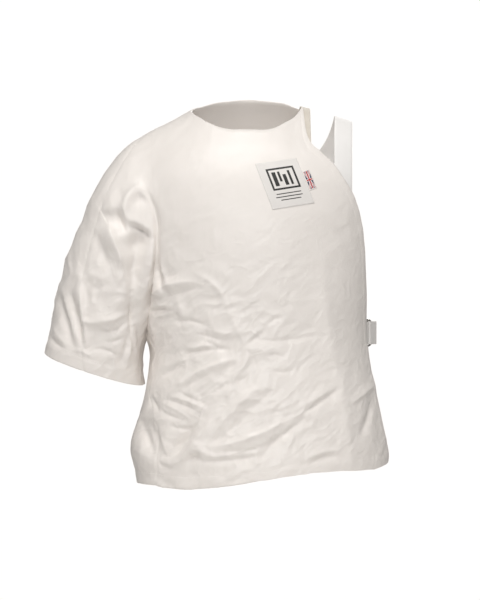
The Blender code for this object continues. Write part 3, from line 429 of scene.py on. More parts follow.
# The main creases: start, middle and end (across, height), width to the left and to the right
# of the way from start to end, rise, sharpness. Those of the armhole run over both panels beside it.
creases = {
    "frontOfTorso": [
        (-162, -319, -130, -289, -80, -284, 5, 11, 6, 1.2),
        (-138, -308, -110, -300, -82, -292, 8, 4, -3, 1.3),
        (-82, -270, -55, -286, -36, -311, 4, 4, 1.6, 1.15),
        (-36, -311, -24, -345, -5, -378, 4, 4, 1.2, 1.15),
        (-157, -331, -141, -327, -121, -328, 3, 4, -2.6, 1.1),
        (-154, -325, -138, -320, -118, -324, 4, 3, 2, 1.15),
        (-113, -345, -91, -344, -63, -353, 3, 4, -2.6, 1.1),
        (-79, -364, -60, -369, -36, -375, 3, 3, -2.2, 1.1),
        (-68, -375, -52, -383, -33, -389, 3, 3, -2.2, 1.1),
        (-57, -358, -41, -363, -24, -364, 3, 3, 1.8, 1.1),
        (-102, -400, -76, -391, -26, -389, 3, 4, -2.6, 1.1),
        (-94, -388, -68, -383, -40, -383, 4, 3, 1.8, 1.15),
        (-129, -466, -82, -427, -19, -403, 4, 9, 5, 1.15),
        (-110, -458, -85, -441, -63, -427, 6, 4, -3, 1.3),
        (-138, -433, -123, -424, -104, -411, 5, 5, -4, 1.6),
        (-129, -469, -101, -477, -77, -489, 3, 4, -2.4, 1.1),
        (-121, -463, -94, -471, -69, -482, 3, 3, 2, 1.1),
        (-107, -457, -88, -466, -65, -475, 3, 3, -2.2, 1.1),
        (-134, -475, -110, -486, -91, -500, 3, 3, 1.6, 1.1),
        (-137, -485, -123, -494, -101, -500, 3, 3.5, -1.8, 1.1),
        (-123, -510, -104, -513, -88, -511, 3, 4, -2.6, 1.2),
        (-130, -558, -104, -538, -79, -496, 19, 6, -14, 1.2),
        (-110, -566, -79, -527, -47, -475, 5, 8, 5, 1.3),
        (-57, -527, -26, -486, 29, -432, 6, 16, 4.5, 1.15),
        (-44, -536, -10, -499, 34, -455, 8, 6, -2.5, 1.4), (-57, -540, 0, -527, 84, -488, 4, 7, 4, 1.15),
        (-35, -549, 21, -540, 86, -499, 3, 7, -2.6, 1.3), (21, -551, 51, -525, 87, -500, 4, 5, -2.4, 1.3),
        (-71, -563, -32, -561, 23, -555, 3, 4, -2.6, 1.15), (-66, -557, -26, -554, 17, -547, 4, 3, 2, 1.15),
        (-98, -569, -85, -558, -69, -565, 3, 3, -3.6, 1.2),
        (-91, -554, -76, -549, -52, -557, 4, 3, 3, 1.15),
        (-173, -565, -170, -530, -171, -499, 4, 4, 1.5, 1.3),
        (-173, -499, -165, -530, -149, -560, 12, 7, -12, 1.3),
        (-157, -499, -148, -530, -137, -561, 7, 7, -6, 1.8),
        (-151, -466, -148, -477, -141, -488, 3, 3, -3, 1.15),
        (-143, -569, -134, -574, -119, -577, 3, 4, -3, 1.15),
        (-137, -552, -129, -558, -121, -563, 3, 3, -2, 1.15),
        (87, -488, 109, -474, 139, -453, 3, 5, -3, 1.2), (89, -477, 108, -464, 133, -449, 5, 3, 2, 1.2),
        (97, -568, 115, -558, 139, -557, 3, 4, -3.6, 1.15),
        (93, -560, 114, -551, 140, -547, 4, 3, 2.5, 1.15), (197, -463, 189, -499, 176, -524, 5, 5, -4, 1.5),
        (159, -475, 178, -463, 201, -447, 5, 3, 3, 1.2), (31, -399, 40, -397, 51, -399, 3, 3, -1.8, 1.1),
        (36, -422, 51, -424, 70, -422, 3, 3, -1.8, 1.1), (15, -374, 57, -374, 111, -366, 3, 3, -1.5, 1.3),
        (-2, -383, 15, -367, 43, -338, 3, 3, -2.2, 1.1), (-2, -374, 21, -358, 48, -345, 3, 3, 1.8, 1.1),
        (-4, -388, 6, -402, 12, -422, 3, 3, -1.6, 1.1),
        (116, -262, 124, -350, 138, -421, 26, 16, 6, 1.25),
        (134, -400, 150, -483, 162, -577, 24, 16, 6, 1.25),
    ],
    "frontOfArmhole": [
        (-192, -173, -177, -136, -155, -160, 8, 10, 4.5, 1.3),
        (-185, -166, -172, -149, -158, -161, 5, 12, -5, 1.3),
        (-164, -133, -147, -176, -145, -226, 4, 3.5, -5, 1.2),
        (-147, -210, -144, -232, -148, -261, 3.5, 3.5, -4, 1.2),
        (-150, -213, -156, -261, -174, -325, 6, 9, 6, 1.3),
        (-144, -245, -142, -275, -129, -298, 4.5, 4, -7, 1.3),
        (-142, -245, -134, -270, -120, -291, 4, 3, 2.5, 1.2),
    ],
    "backOfTorso": [
        (-150, -300, -105, -262, -40, -232, 11.7, 6.3, 5, 1.3),
        (-152, -330, -110, -318, -48, -322, 10.4, 5.6, -4, 1.3),
        (-160, -352, -120, -352, -78, -372, 9.1, 4.9, 3.6, 1.3),
        (-168, -545, -112, -462, -58, -392, 13, 7, 5, 1.3),
        (-122, -572, -72, -500, -28, -428, 11.7, 6.3, -4.4, 1.3),
        (-70, -585, -24, -535, 8, -470, 10.4, 5.6, 4, 1.3),
        (-150, -440, -118, -428, -70, -440, 9.1, 4.9, -3, 1.3),
        (-128, -478, -96, -488, -52, -480, 7.8, 4.2, 2.6, 1.3),
        (-100, -170, -62, -230, -42, -300, 16, 16, 2.8, 1.9),
        (-140, -120, -128, -190, -142, -270, 13, 7, -3, 1.3),
        (-150, -575, -120, -562, -86, -566, 7.8, 4.2, -2.8, 1.3),
        (-20, -400, 2, -440, 6, -500, 11.7, 6.3, -2.6, 1.3),
        (-60, -350, -30, -366, 4, -360, 7.8, 4.2, 2.2, 1.3),
        (-92, -400, -64, -398, -34, -410, 6.5, 3.5, -2, 1.3),
    ],
    "frontOfSleeve": [
        (-181, -137, -195, -162, -188, -188, 9, 4, 6, 1.2),
        (-192, -185, -173, -192, -151, -208, 5, 3, 2.5, 1.2),
        (-188, -194, -171, -200, -152, -213, 3, 4, -9, 1.3),
        (-185, -204, -171, -216, -157, -226, 8, 18, -8, 1.8),
        (-174, -204, -179, -251, -185, -336, 11, 10, -9, 2),
        (-185, -311, -185, -349, -187, -387, 3.5, 3.5, -7, 1.2),
        (-231, -170, -214, -167, -196, -161, 16, 4, 6, 1.2),
        (-206, -173, -203, -185, -195, -199, 4, 4, -6, 1.3),
        (-222, -191, -211, -216, -201, -251, 6, 18, 11, 1.3),
        (-244, -197, -231, -232, -218, -260, 8, 9, -4, 1.6),
        (-233, -186, -214, -183, -198, -178, 9, 13, -2, 2),
        (-212, -218, -201, -213, -188, -204, 4, 3.5, 3.4, 1.2),
        (-204, -226, -200, -241, -201, -259, 4, 4, 3, 1.2),
        (-196, -267, -204, -281, -214, -294, 4, 4, 3, 1.2),
        (-244, -302, -214, -298, -185, -303, 3.5, 3, 2.2, 1.15),
        (-241, -290, -228, -267, -215, -249, 4, 4, 2.5, 1.2),
        (-253, -347, -222, -344, -187, -330, 7, 3, 4.5, 1.15),
        (-236, -360, -215, -360, -192, -347, 3, 5, -3.5, 1.3),
        (-228, -377, -212, -376, -190, -366, 3, 4, -2, 1.2),
        (-283, -298, -272, -339, -261, -385, 7, 4, -7, 1.3),
        (-301, -308, -291, -346, -279, -387, 6, 4, -6, 1.3),
        (-296, -295, -283, -339, -271, -385, 3, 4, 3, 1.15),
        (-267, -260, -263, -324, -258, -388, 3.5, 9, 6, 1.2),
        (-318, -368, -307, -381, -293, -388, 3, 3.5, -3, 1.2),
        (-313, -352, -301, -371, -288, -382, 3, 3, 2, 1.15),
        (-184, -346, -187, -377, -196, -417, 3, 3, 4, 1.15),
        (-179, -346, -174, -371, -171, -392, 3, 3, -3.5, 1.2),
        (-192, -368, -196, -390, -203, -411, 3, 3, -3, 1.2),
        (-247, -393, -228, -390, -209, -400, 3, 3, -2, 1.15),
        (-282, -393, -266, -392, -250, -400, 3, 3, 1.8, 1.15),
        (-214, -109, -225, -124, -237, -148, 3, 3, 1.2, 1.2),
        (-269, -260, -280, -286, -294, -311, 4, 3, 1.6, 1.2),
    ],
    "sideOfSleeve": [  # front to back, height
        (-45, -120, -20, -150, 30, -165, 11.7, 6.3, 1.6, 1.3),
        (-40, -190, 0, -185, 44, -205, 11.7, 6.3, -1.8, 1.3),
        (-36, -232, -10, -245, 40, -238, 10.4, 5.6, 1.8, 1.3),
        (-50, -268, -18, -280, 20, -262, 9.1, 4.9, -1.5, 1.3),
        (-30, -300, 10, -312, 52, -296, 10.4, 5.6, 1.7, 1.3),
        (-52, -330, -22, -352, 4, -384, 9.1, 4.9, -1.8, 1.3),
        (-20, -325, 2, -350, 14, -386, 7.8, 4.2, 1.5, 1.3),
        (20, -330, 32, -356, 36, -386, 9.1, 4.9, -1.6, 1.3),
        (-8, -215, 12, -222, 30, -216, 6.5, 3.5, -1.1, 1.3),
    ],
    "backOfSleeve": [
        (-176, -150, -160, -205, -170, -280, 11.7, 6.3, 5, 1.3),
        (-212, -140, -190, -205, -186, -300, 14.3, 7.7, -7, 1.3),
        (-258, -190, -232, -222, -206, -240, 11.7, 6.3, 4.6, 1.3),
        (-262, -212, -236, -246, -214, -262, 11.7, 6.3, -5, 1.3),
        (-270, -262, -238, -282, -204, -276, 10.4, 5.6, 4, 1.3),
        (-282, -300, -250, -322, -210, -320, 10.4, 5.6, -4.4, 1.3),
        (-290, -330, -262, -344, -222, -346, 7.8, 4.2, 3.2, 1.3),
        (-300, -350, -286, -372, -280, -400, 7.8, 4.2, -3.6, 1.3),
        (-262, -352, -248, -378, -244, -412, 7.8, 4.2, 3.2, 1.3),
        (-226, -362, -212, -388, -206, -424, 7.8, 4.2, -3.8, 1.3),
        (-196, -330, -190, -368, -192, -418, 7.8, 4.2, 3.2, 1.3),
        (-222, -300, -208, -306, -192, -302, 6.5, 3.5, -2.4, 1.3),
    ],
}
facingSide = {  # for each side: the axes that its places are given on, and the way to the viewer
    "front": ((0, 2), (0, -1, 0)), "back": ((0, 2), (0, 1, 0)), "side": ((1, 2), (-1, 0, 0)),
}
turnedTo = (0.1, 0.5)  # how far cloth faces a side where its creases begin, and where they are whole


# How far the cloth stands out at each point, from the creases seen from each side, where the cloth faces
# that way.
def creaseRise(points, unit, tables):
    rise = np.zeros(points.shape[:-1])
    for name in tables:
        (across, up), toward = facingSide[name.split("Of")[0]]
        weight = eased(*turnedTo, unit @ np.array(toward))
        seen = foldField(points[..., [across, up]].reshape(-1, 2), creases[name]).reshape(rise.shape)
        rise = rise + weight * seen
    return rise


# Distance over the cloth from one edge of a grid: running sums of the steps between neighbours.
def edgeDistance(grid, edge):
    axis = 0 if edge in ("low", "high") else 1
    steps = np.linalg.norm(np.diff(grid, axis=axis), axis=-1)
    run = np.cumsum(np.insert(steps, 0, 0, axis=axis), axis=axis)
    if edge in ("low", "left"):
        return run
    return (run[-1:] if axis == 0 else run[:, -1:]) - run


# Points and normals at a set distance from an edge, between the two grid lines on either side of it.
def insetLine(grid, normals, edge, distance):
    away = edgeDistance(grid, edge)
    if edge in ("left", "right"):
        grid, normals, away = (np.swapaxes(a, 0, 1) for a in (grid, normals, away))
    if edge in ("high", "right"):
        grid, normals, away = (a[::-1] for a in (grid, normals, away))
    i, j = (away < distance).sum(0) - 1, np.arange(away.shape[1])
    share = ((distance - away[i, j]) / (away[i + 1, j] - away[i, j]))[:, None]
    return [(1 - share) * a[i, j] + share * a[i + 1, j] for a in (grid, normals)]


sameNormal = {
    "near": 1e-5,  # metres: points this near are one
    "shortest": 0.55,  # a mean normal counts as no shorter than this
}


# Where panels meet they get one mean normal, as much longer as keeps both walls to their thickness.
def shareNormals(panels):
    points = np.concatenate([panel["grid"].reshape(-1, 3) for panel in panels])
    normals = madeUnit(np.concatenate([panel["normals"].reshape(-1, 3) for panel in panels]))
    _, same = np.unique(np.round(points / sameNormal["near"]).astype(int), axis=0, return_inverse=True)
    same = same.reshape(-1)
    count = np.bincount(same)
    mean = np.stack([np.bincount(same, normals[:, k]) / count for k in range(3)], axis=-1)[same]
    length = np.linalg.norm(mean, axis=-1, keepdims=True)
    shared = mean / length / np.maximum(length, sameNormal["shortest"])
    start = 0
    for panel in panels:
        size = panel["grid"].shape
        panel["normals"] = shared[start : start + size[0] * size[1]].reshape(size)
        panel["unit"] = madeUnit(panel["normals"])
        start += size[0] * size[1]


# How much deeper the cloth goes within one step of each point, and nothing on the edges.
def troughDepth(rise):
    wide = np.pad(rise, 1, mode="edge")
    rows, columns = rise.shape
    depth = rise - np.min([wide[i : i + rows, j : j + columns] for i, j in np.ndindex(3, 3)], axis=0)
    depth[[0, -1]], depth[:, [0, -1]] = 0, 0
    return depth


# Puts a mesh in the scene, smooth but for edges sharper than an angle in degrees.
def makeObject(name, points, faces, material, uv=None, sharpFrom=60):
    mesh = bpy.data.meshes.new(name)
    mesh.from_pydata(points.reshape(-1, 3), [], [face for block in faces for face in block.tolist()])
    if uv is not None:
        layer = mesh.uv_layers.new(name="cut")
        corners = np.empty(len(mesh.loops), int)
        mesh.loops.foreach_get("vertex_index", corners)
        layer.data.foreach_set("uv", uv.reshape(-1, 2)[corners].astype(np.float32).ravel())
    mesh.shade_smooth()
    mesh.set_sharp_from_angle(angle=math.radians(sharpFrom))
    mesh.materials.append(material)
    obj = bpy.data.objects.new(name, mesh)
    bpy.context.scene.collection.objects.link(obj)
    return obj


# The four edges of a grid of numbers, one after the other round it.
def edgesOf(index):
    return [index[0, :-1], index[:-1, -1], index[-1, :0:-1], index[:0:-1, 0]]


# A closed wall: the outer points, every second one of them moved in along the normals by the thickness, and
# a rim between them that is bowed outwards by a share of the thickness, less at seams.
def clothWall(name, grid, normals, thickness, material, uv, bow=0.4, seams=(), skip=2):
    rows, columns = grid.shape[:2]
    moved = grid - np.asarray(thickness)[..., None] * normals
    inner = moved[::skip, ::skip]
    index = np.arange(rows * columns).reshape(rows, columns)
    innerIndex = rows * columns + np.arange(inner.shape[0] * inner.shape[1]).reshape(inner.shape[:2])
    edges = edgesOf(index)
    rim, innerRim = np.concatenate(edges), np.concatenate(edgesOf(innerIndex))
    nextIn = np.concatenate([line + step for line, step in zip(edges, (columns, -1, -columns, 1))])
    bowed = np.concatenate([
        np.full(len(line), 0 if side in seams else bow)
        for side, line in zip(("low", "right", "high", "left"), edges)
    ])
    outer, under = grid.reshape(-1, 3), moved.reshape(-1, 3)
    away = madeUnit(outer[rim] - outer[nextIn])
    deep = np.linalg.norm(outer[rim] - under[rim], axis=-1, keepdims=True)
    middle = (outer[rim] + under[rim]) / 2 + away * deep * bowed[:, None]
    points = np.concatenate([outer, inner.reshape(-1, 3), middle])
    ring = len(points) - len(rim) + np.arange(len(rim))
    quads, innerQuads = (
        np.stack([i[:-1, :-1], i[:-1, 1:], i[1:, 1:], i[1:, :-1]], axis=-1).reshape(-1, 4)
        for i in (index, innerIndex)
    )
    rimNext, ringNext = np.roll(rim, -1), np.roll(ring, -1)
    lining = [np.roll(innerRim, -1)] + [np.roll(ring, -k)[::skip] for k in range(skip, -1, -1)] + [innerRim]
    faces = [
        quads, innerQuads[:, ::-1],
        np.stack([rimNext, rim, ring, ringNext], axis=-1), np.stack(lining, axis=-1),
    ]
    first = points[faces[0][0]]
    if np.cross(first[1] - first[0], first[3] - first[0]) @ normals[0, 0] < 0:
        faces = [block[:, ::-1] for block in faces]
    flat = uv.reshape(-1, 2)
    return makeObject(
        name, points, faces, material, np.concatenate([flat, uv[::skip, ::skip].reshape(-1, 2), flat[rim]])
    )


# Places on the cut cloth in metres: distances along the rows from the middle column, and along the columns.
def cutPlaces(grid):
    across = edgeDistance(grid, "left")
    return np.stack([across - across[:, across.shape[1] // 2, None], edgeDistance(grid, "low")], axis=-1)


# Adds one node, with its settings, and its inputs given as values or as (node, output name) pairs.
def addNode(tree, kind, settings=None, **inputs):
    node = tree.nodes.new(kind)
    for name, value in (settings or {}).items():
        setattr(node, name, value)
    for name, value in inputs.items():
        socket = node.inputs[int(name[1:])] if name[1:].isdigit() else node.inputs[name.replace("_", " ")]
        if isinstance(value, tuple) and isinstance(value[0], bpy.types.Node):
            tree.links.new(value[0].outputs[value[1]], socket)
        else:
            socket.default_value = value
    return node


# sRGB hex to linear colour: a straight line near black, and above it a power of 2.4.
def fromHex(code):
    parts = np.array([int(code[k : k + 2], 16) / 255 for k in (0, 2, 4)])
    linear = np.where(parts <= 0.04045, parts / 12.92, ((parts + 0.055) / 1.055) ** 2.4)
    return (*linear.tolist(), 1.0)


# A material whose shader has the given inputs, which are constant.
def newMaterial(name, **inputs):
    material = bpy.data.materials.new(name)
    material.use_nodes = True
    for socket, value in inputs.items():
        material.node_tree.nodes["Principled BSDF"].inputs[socket.replace("_", " ")].default_value = value
    return material


# Crinkles too fine for the shell: a bump of sharp lines, where bent noise passes its middle. They deepen
# down the garment between two heights, as the chest and the shoulders are stretched smooth.
def crinkleBump(tree, size, deep, drawnOut, slant, heights, strengths):
    where = addNode(tree, "ShaderNodeTexCoord")
    leant = addNode(tree, "ShaderNodeMapping", Vector=(where, "Object"), Rotation=(0, math.radians(slant), 0))
    drawn = addNode(tree, "ShaderNodeMapping", Vector=(leant, "Vector"), Scale=(drawnOut, 1, 1))
    bent = addNode(
        tree, "ShaderNodeTexNoise", Vector=(drawn, "Vector"), Scale=1000 / size, Detail=1.0, Distortion=0.5
    )
    middle = addNode(tree, "ShaderNodeMath", {"operation": "SUBTRACT"}, _0=(bent, 0), _1=0.5)
    lines = addNode(tree, "ShaderNodeMath", {"operation": "ABSOLUTE"}, _0=(middle, 0))
    height = addNode(tree, "ShaderNodeSeparateXYZ", Vector=(where, "Object"))
    strength = addNode(
        tree, "ShaderNodeMapRange", Value=(height, "Z"), From_Min=heights[0], From_Max=heights[1],
        To_Min=strengths[0], To_Max=strengths[1],
    )
    return addNode(
        tree, "ShaderNodeBump", {"invert": True},
        Height=(lines, 0), Distance=deep / 1000, Strength=(strength, 0),
    )


# Woven cloth: two tones mixed by slow noise, and a bump of ribs across the threads. Sideways light gives it a
# soft pearly sheen, so its folds catch wide dull highlights. Sizes are in mm. Threads are about 0.5 mm apart
# in the real cloth and are drawn at the spacing given, or they wouldn't show.
def wovenCloth(name, light, dark, spacing, slant, depth, roughness, sheen, mottle=32, crinkle=None):
    material = newMaterial(name, Roughness=roughness, Sheen_Weight=sheen)
    tree = material.node_tree
    shader = tree.nodes["Principled BSDF"]
    place = addNode(tree, "ShaderNodeUVMap", {"uv_map": "cut"})
    noise = addNode(tree, "ShaderNodeTexNoise", Vector=(place, "UV"), Scale=1000 / mottle, Detail=3.0)
    tone = addNode(
        tree, "ShaderNodeMix", {"data_type": "RGBA"}, Factor=(noise, 0), _6=fromHex(light), _7=fromHex(dark)
    )
    tree.links.new(tone.outputs[2], shader.inputs["Base Color"])
    turned = addNode(
        tree, "ShaderNodeMapping", Vector=(place, "UV"), Rotation=(0, 0, math.radians(slant))
    )
    ribs = addNode(  # a wave turns once in 2 pi / 20 of its scaled length
        tree, "ShaderNodeTexWave", {"bands_direction": "X", "wave_profile": "SIN"},
        Vector=(turned, "Vector"), Scale=2 * math.pi / 20 * 1000 / spacing, Distortion=0.4, Detail=1.0,
    )
    bump = addNode(tree, "ShaderNodeBump", Height=(ribs, 1), Distance=depth / 1000, Strength=0.6)
    if crinkle:
        tree.links.new(crinkleBump(tree, **crinkle).outputs[0], bump.inputs["Normal"])
    tree.links.new(bump.outputs[0], shader.inputs["Normal"])
    return material


# The panels' cotton: a closely woven twill, off-white, with a faint sheen.
cottonTwill = {
    "tones": {
        "frontCotton": ("EDE7E2", "E8E2DC"), "backCotton": ("EDE7E2", "E8E2DC"),
        "sleeveCotton": ("EEE8E3", "E9E3DD"), "undersleeveCotton": ("EEE8E3", "E9E3DD"),
    },
    "weave": {"spacing": 1.3, "slant": 52, "depth": 0.05, "roughness": 0.42, "sheen": 0.08},
    "crinkle": {  # mm and degrees, but the heights are in metres
        "size": 22, "deep": 3.0, "drawnOut": 0.6, "slant": 35,
        "heights": (-0.14, -0.34), "strengths": (0.12, 0.8),
    },
}

panelForm = {  # the first four are the turned facings' width and how much they stand out
    "hem": (18.5, 0.55), "freeEdge": (12.5, 0.45), "neck": (7.0, 0.3), "cuff": (20.0, 0.6),
    "stepDown": (0.5, 3.5),  # distances past its stitching between which the facing's lift ends
    "stitchDip": (0.4, 1.7), "seamDip": (0.55, 2.6),  # depth and reach of the dips along stitching and seams
    "pucker": (0.42, 7, 9, 5),  # height, reach, patches and seed of the unevenness along the stitching
    "armholeReach": 5.0,  # how soon the folds die out at the armhole
    "neckStart": 5,  # columns over which the neck's facing begins
}


# A turned-in facing lifts the cloth as far as its stitching, where it dips and puckers.
def facingRise(points, distance, width, lift):
    away = distance * 1000 - width
    depth, dipReach = panelForm["stitchDip"]
    height, reach, cell, seed = panelForm["pucker"]
    pucker = height * smoothNoise(points, cell, seed) * bell(away, reach)
    return (lift * (1 - eased(*panelForm["stepDown"], away)) - depth * bell(away, dipReach) + pucker) / 1000


print("shaping the four panels")
torsoMiddle = np.array([0.015, 0.0, -0.30])
frontTurns, backTurns = evenedOut(torsoPanel("front", 1)), evenedOut(torsoPanel("back", -1))
sleeveAxis = sleeveRing(sleeveAlong, np.full((1, 1), math.pi / 2)) * np.array([1, 0, 1])
frontSleeve, backSleeve = sleevePanels()
panels = [
    {"name": "front", "grid": onBody(*np.moveaxis(frontTurns, -1, 0)), "middle": torsoMiddle},
    {"name": "back", "grid": onBody(*np.moveaxis(backTurns, -1, 0)), "middle": torsoMiddle},
    {"name": "sleeve_front", "grid": frontSleeve, "middle": sleeveAxis},
    {"name": "sleeve_back", "grid": backSleeve, "middle": sleeveAxis},
]
shoulderFlow = {  # reach of the blur, heights where it is whole and where none, lines, share of soft ends
    "reach": 26, "from": -150, "to": -225, "lines": 34, "ends": 0.4,
}


# Over the shoulder the cloth flows from the body into the sleeve with no corner. Each line of points that
# crosses the armhole is blurred over the reach, with weights that fall off as a bell, then moved as far
# towards the blurred line as its height at the seam asks.
def flowOver(torso, sleeve):
    count = shoulderFlow["lines"]
    over = torso["grid"][sideCount:, : count + 1][::-1]  # from the shoulder point down
    out = np.swapaxes(sleeve["grid"], 0, 1)[:, 1 : count + 1]
    lines = np.concatenate([out[:, ::-1], over], axis=1)
    run = np.cumsum(np.linalg.norm(np.diff(lines, axis=1, prepend=lines[:, :1]), axis=-1), axis=1)
    apart = run[:, :, None] - run[:, None, :]
    weights = bell(apart * 1000, shoulderFlow["reach"]) * np.gradient(run, axis=1)[:, None, :]
    blurred = np.einsum("lab,lbk->lak", weights / weights.sum(-1, keepdims=True), lines)
    toEnds = np.minimum(np.linspace(0, 1, lines.shape[1]), np.linspace(1, 0, lines.shape[1]))
    ends = eased(0, shoulderFlow["ends"], toEnds)
    high = eased(shoulderFlow["to"], shoulderFlow["from"], over[:, 0, 2] * 1000)
    moved = lines + (high[:, None] * ends[None, :])[..., None] * (blurred - lines)
    torso["grid"][sideCount:, : count + 1] = moved[:, count:][::-1]
    sleeve["grid"][: count + 1] = np.swapaxes(moved[:, count::-1], 0, 1)
    return np.linalg.norm(moved - lines, axis=-1).max() * 1000


print("easing the shoulder by up to", [round(flowOver(panels[k], panels[k + 2]), 1) for k in (0, 1)], "mm")
for panel in panels:
    panel["normals"] = gridNormals(panel["grid"], panel["middle"])
shareNormals(panels)

farAway = 1.0  # metres, where an edge isn't beside the point
for panel in panels:
    grid, unit = panel["grid"], panel["unit"]
    isSleeve = "sleeve" in panel["name"]
    low, high, left, right = (edgeDistance(grid, edge) for edge in ("low", "high", "left", "right"))
    ending = "Sleeve" if isSleeve else "Torso"
    rise = creaseRise(grid, unit, [name for name in creases if name.endswith(ending)])
    if isSleeve:
        fromArmhole, seams = low, (left, right)
        rise += facingRise(grid, high, *panelForm["cuff"])
    else:
        besideArm = np.arange(len(grid))[:, None] > sideCount
        pastShoulder = np.arange(grid.shape[1])[None, :] - shoulderCount
        fromArmhole = np.where(besideArm, left, farAway)
        fromArmhole[sideCount, 0] = 0
        rise += facingRise(grid, low, *panelForm["hem"])
        rise += facingRise(grid, right, *panelForm["freeEdge"])
        rise += facingRise(grid, high, *panelForm["neck"]) * eased(0, panelForm["neckStart"], pastShoulder)
        seams = np.where(besideArm, farAway, left), np.where(pastShoulder > 0, farAway, high)
    depth, reach = panelForm["seamDip"]
    for distance in seams:
        rise = rise - depth / 1000 * bell(distance * 1000, reach)
    rise *= eased(0, panelForm["armholeReach"] / 1000, fromArmhole)
    rise += crumple(grid) + creaseRise(grid, unit, ("frontOfArmhole",))
    panel["cut"] = cutPlaces(grid)
    # Troughs are walled thicker, or the coarser lining side would show in them.
    panel["thickness"] = clothThickness + troughDepth(rise)
    panel["grid"] = grid + rise[..., None] * unit
for panel in panels:
    panel["normals"] = gridNormals(panel["grid"], panel["middle"])
shareNormals(panels)

cutSizes = {  # width and length of the cut piece, its area, record slot, material, edges that are seams
    "front": (0.474, 0.665, 0.217, "cotton_front", "frontCotton", ("left",)),
    "back": (0.350, 0.669, 0.157, "cotton_back", "backCotton", ("left",)),
    "sleeve_front": (0.165, 0.430, 0.042, "cotton_sleeve", "sleeveCotton", ("low", "left", "right")),
    "sleeve_back": (0.400, 0.430, 0.098, "cotton_undersleeve", "undersleeveCotton", ("low", "left", "right")),
}
for panel in panels:
    width, length, area, slotName, finish, seams = cutSizes[panel["name"]]
    twill = wovenCloth(
        finish + "Twill", *cottonTwill["tones"][finish], **cottonTwill["weave"],
        crinkle=cottonTwill["crinkle"],
    )
    piece = clothWall(
        panel["name"] + "Cloth", panel["grid"], panel["normals"], panel["thickness"], twill, panel["cut"],
        seams=seams,
    )
    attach(piece, "root")
    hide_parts(panel["name"])
panelNamed = {panel["name"]: panel for panel in panels}


# The grid and the unit normals of a panel.
def cloth(name):
    return panelNamed[name]["grid"], panelNamed[name]["unit"]


print("laying the straps and the tape")
strapForm = {
    "tapeThickness": 1.5,
    "softEdge": 0.8, "edgeShares": (0, 0.12, 0.4, 1),  # how far in a strap is rounded, and in what steps
    "neckTape": {
        "width": 14.5, "under": 2.2, "steps": 150,
        "path": [(93.3, 175), (93.3, 100), (93.3, 0), (90.5, -50), (69, -135)],  # across, over the shoulder
    },
    "shoulderStrap": {
        "width": 29, "under": 1.2, "steps": 260,
        "path": [
            (151.6, 225), (152.5, 120), (154.5, 50), (155.5, 0), (154, -50), (145, -100), (118, -160),
            (90, -215), (62, -265), (30, -315), (5, -350),
        ],
    },
}
tapeThickness = strapForm["tapeThickness"] / 1000


# Offsets across a strap, close together at its edges, and the share of its thickness at each: a quarter
# circle from the edge inwards.
def strapAcross(width, inside=9, least=0.05):
    soft = strapForm["softEdge"] / 1000
    edge = soft * np.array(strapForm["edgeShares"])
    offsets = np.concatenate([edge, np.linspace(soft, width - soft, inside)[1:-1], width - edge[::-1]])
    away = np.minimum(offsets, width - offsets)
    share = np.sqrt(np.clip(1 - (1 - np.clip(away / soft, 0, 1)) ** 2, least, 1))
    return offsets - width / 2, share


# A strap's wall about its middle surface, with cut places measured along the column given.
def strapWall(name, grid, normals, share, material, along):
    run = np.broadcast_to(edgeDistance(grid, "low")[:, along, None], grid.shape[:2])
    across = edgeDistance(grid, "left")
    uv = np.stack([across - across[:, -1:] / 2, run], axis=-1)
    half = tapeThickness / 2 * np.broadcast_to(share, grid.shape[:2])
    wall = grid + half[..., None] * normals
    return clothWall(name, wall, normals, 2 * half, material, uv, bow=0.3, skip=1)


# A point of the body given across and by its distance over the shoulder line, negative down the back.
def overShoulder(across, over):
    z = shoulderHeight(across) - dropOf(np.abs(over))
    middle, half, front, back = bodySection(z)
    u = np.clip(np.abs(across - middle) / half, 0, 1)
    deep = np.where(over > 0, -front, back) * (1 - u**squareness) ** (1 / squareness)
    return np.stack([across, deep * depthShare(np.abs(over)), z], axis=-1)


# A strap along its path over the shoulder, moved in under the cloth: half its width to each side of the path.
def strapOverShoulder(name, sizes, material):
    line = spacedAlong(np.array(sizes["path"]) / 1000, sizes["steps"] + 1)
    along = madeUnit(np.gradient(line, axis=0))
    sideways = np.stack([along[:, 1], -along[:, 0]], axis=-1)
    offsets, share = strapAcross(sizes["width"] / 1000)
    places = line[:, None] + offsets[None, :, None] * sideways[:, None]
    grid = overShoulder(places[..., 0], places[..., 1])
    normals = gridNormals(grid, np.array([grid[..., 0].mean(), 0, torsoMiddle[2]]))
    sunk = clothThickness + sizes["under"] / 1000 + tapeThickness / 2
    return strapWall(name, grid - sunk * normals, normals, share, material, len(offsets) // 2)


# Herringbone cotton tape: unbleached, so it is creamier than the panels, with slanting ribs.
herringboneTape = wovenCloth("herringboneTape", "DAD3C8", "CFC7BB", 1.6, 40, 0.16, 0.8, 0.1, mottle=18)
# Knitted elastic: bright white, with fine lengthwise ribs over the rubber threads.
ribbedElastic = wovenCloth("ribbedElastic", "F4F2F0", "EBE8E5", 2.0, 0, 0.22, 0.75, 0.15, mottle=60)
# Cotton webbing: thick crosswise ribs where the weft packs together.
ribbedWebbing = wovenCloth("ribbedWebbing", "F2EFEC", "E4E0DC", 1.9, 90, 0.25, 0.8, 0.1, mottle=30)
tabWebbing = wovenCloth("tabWebbing", "EEEAE6", "DEDAD5", 1.7, 90, 0.25, 0.8, 0.1, mottle=30)

neckTape = strapOverShoulder("neckTape", strapForm["neckTape"], herringboneTape)
shoulderStrap = strapOverShoulder("shoulderStrap", strapForm["shoulderStrap"], ribbedElastic)

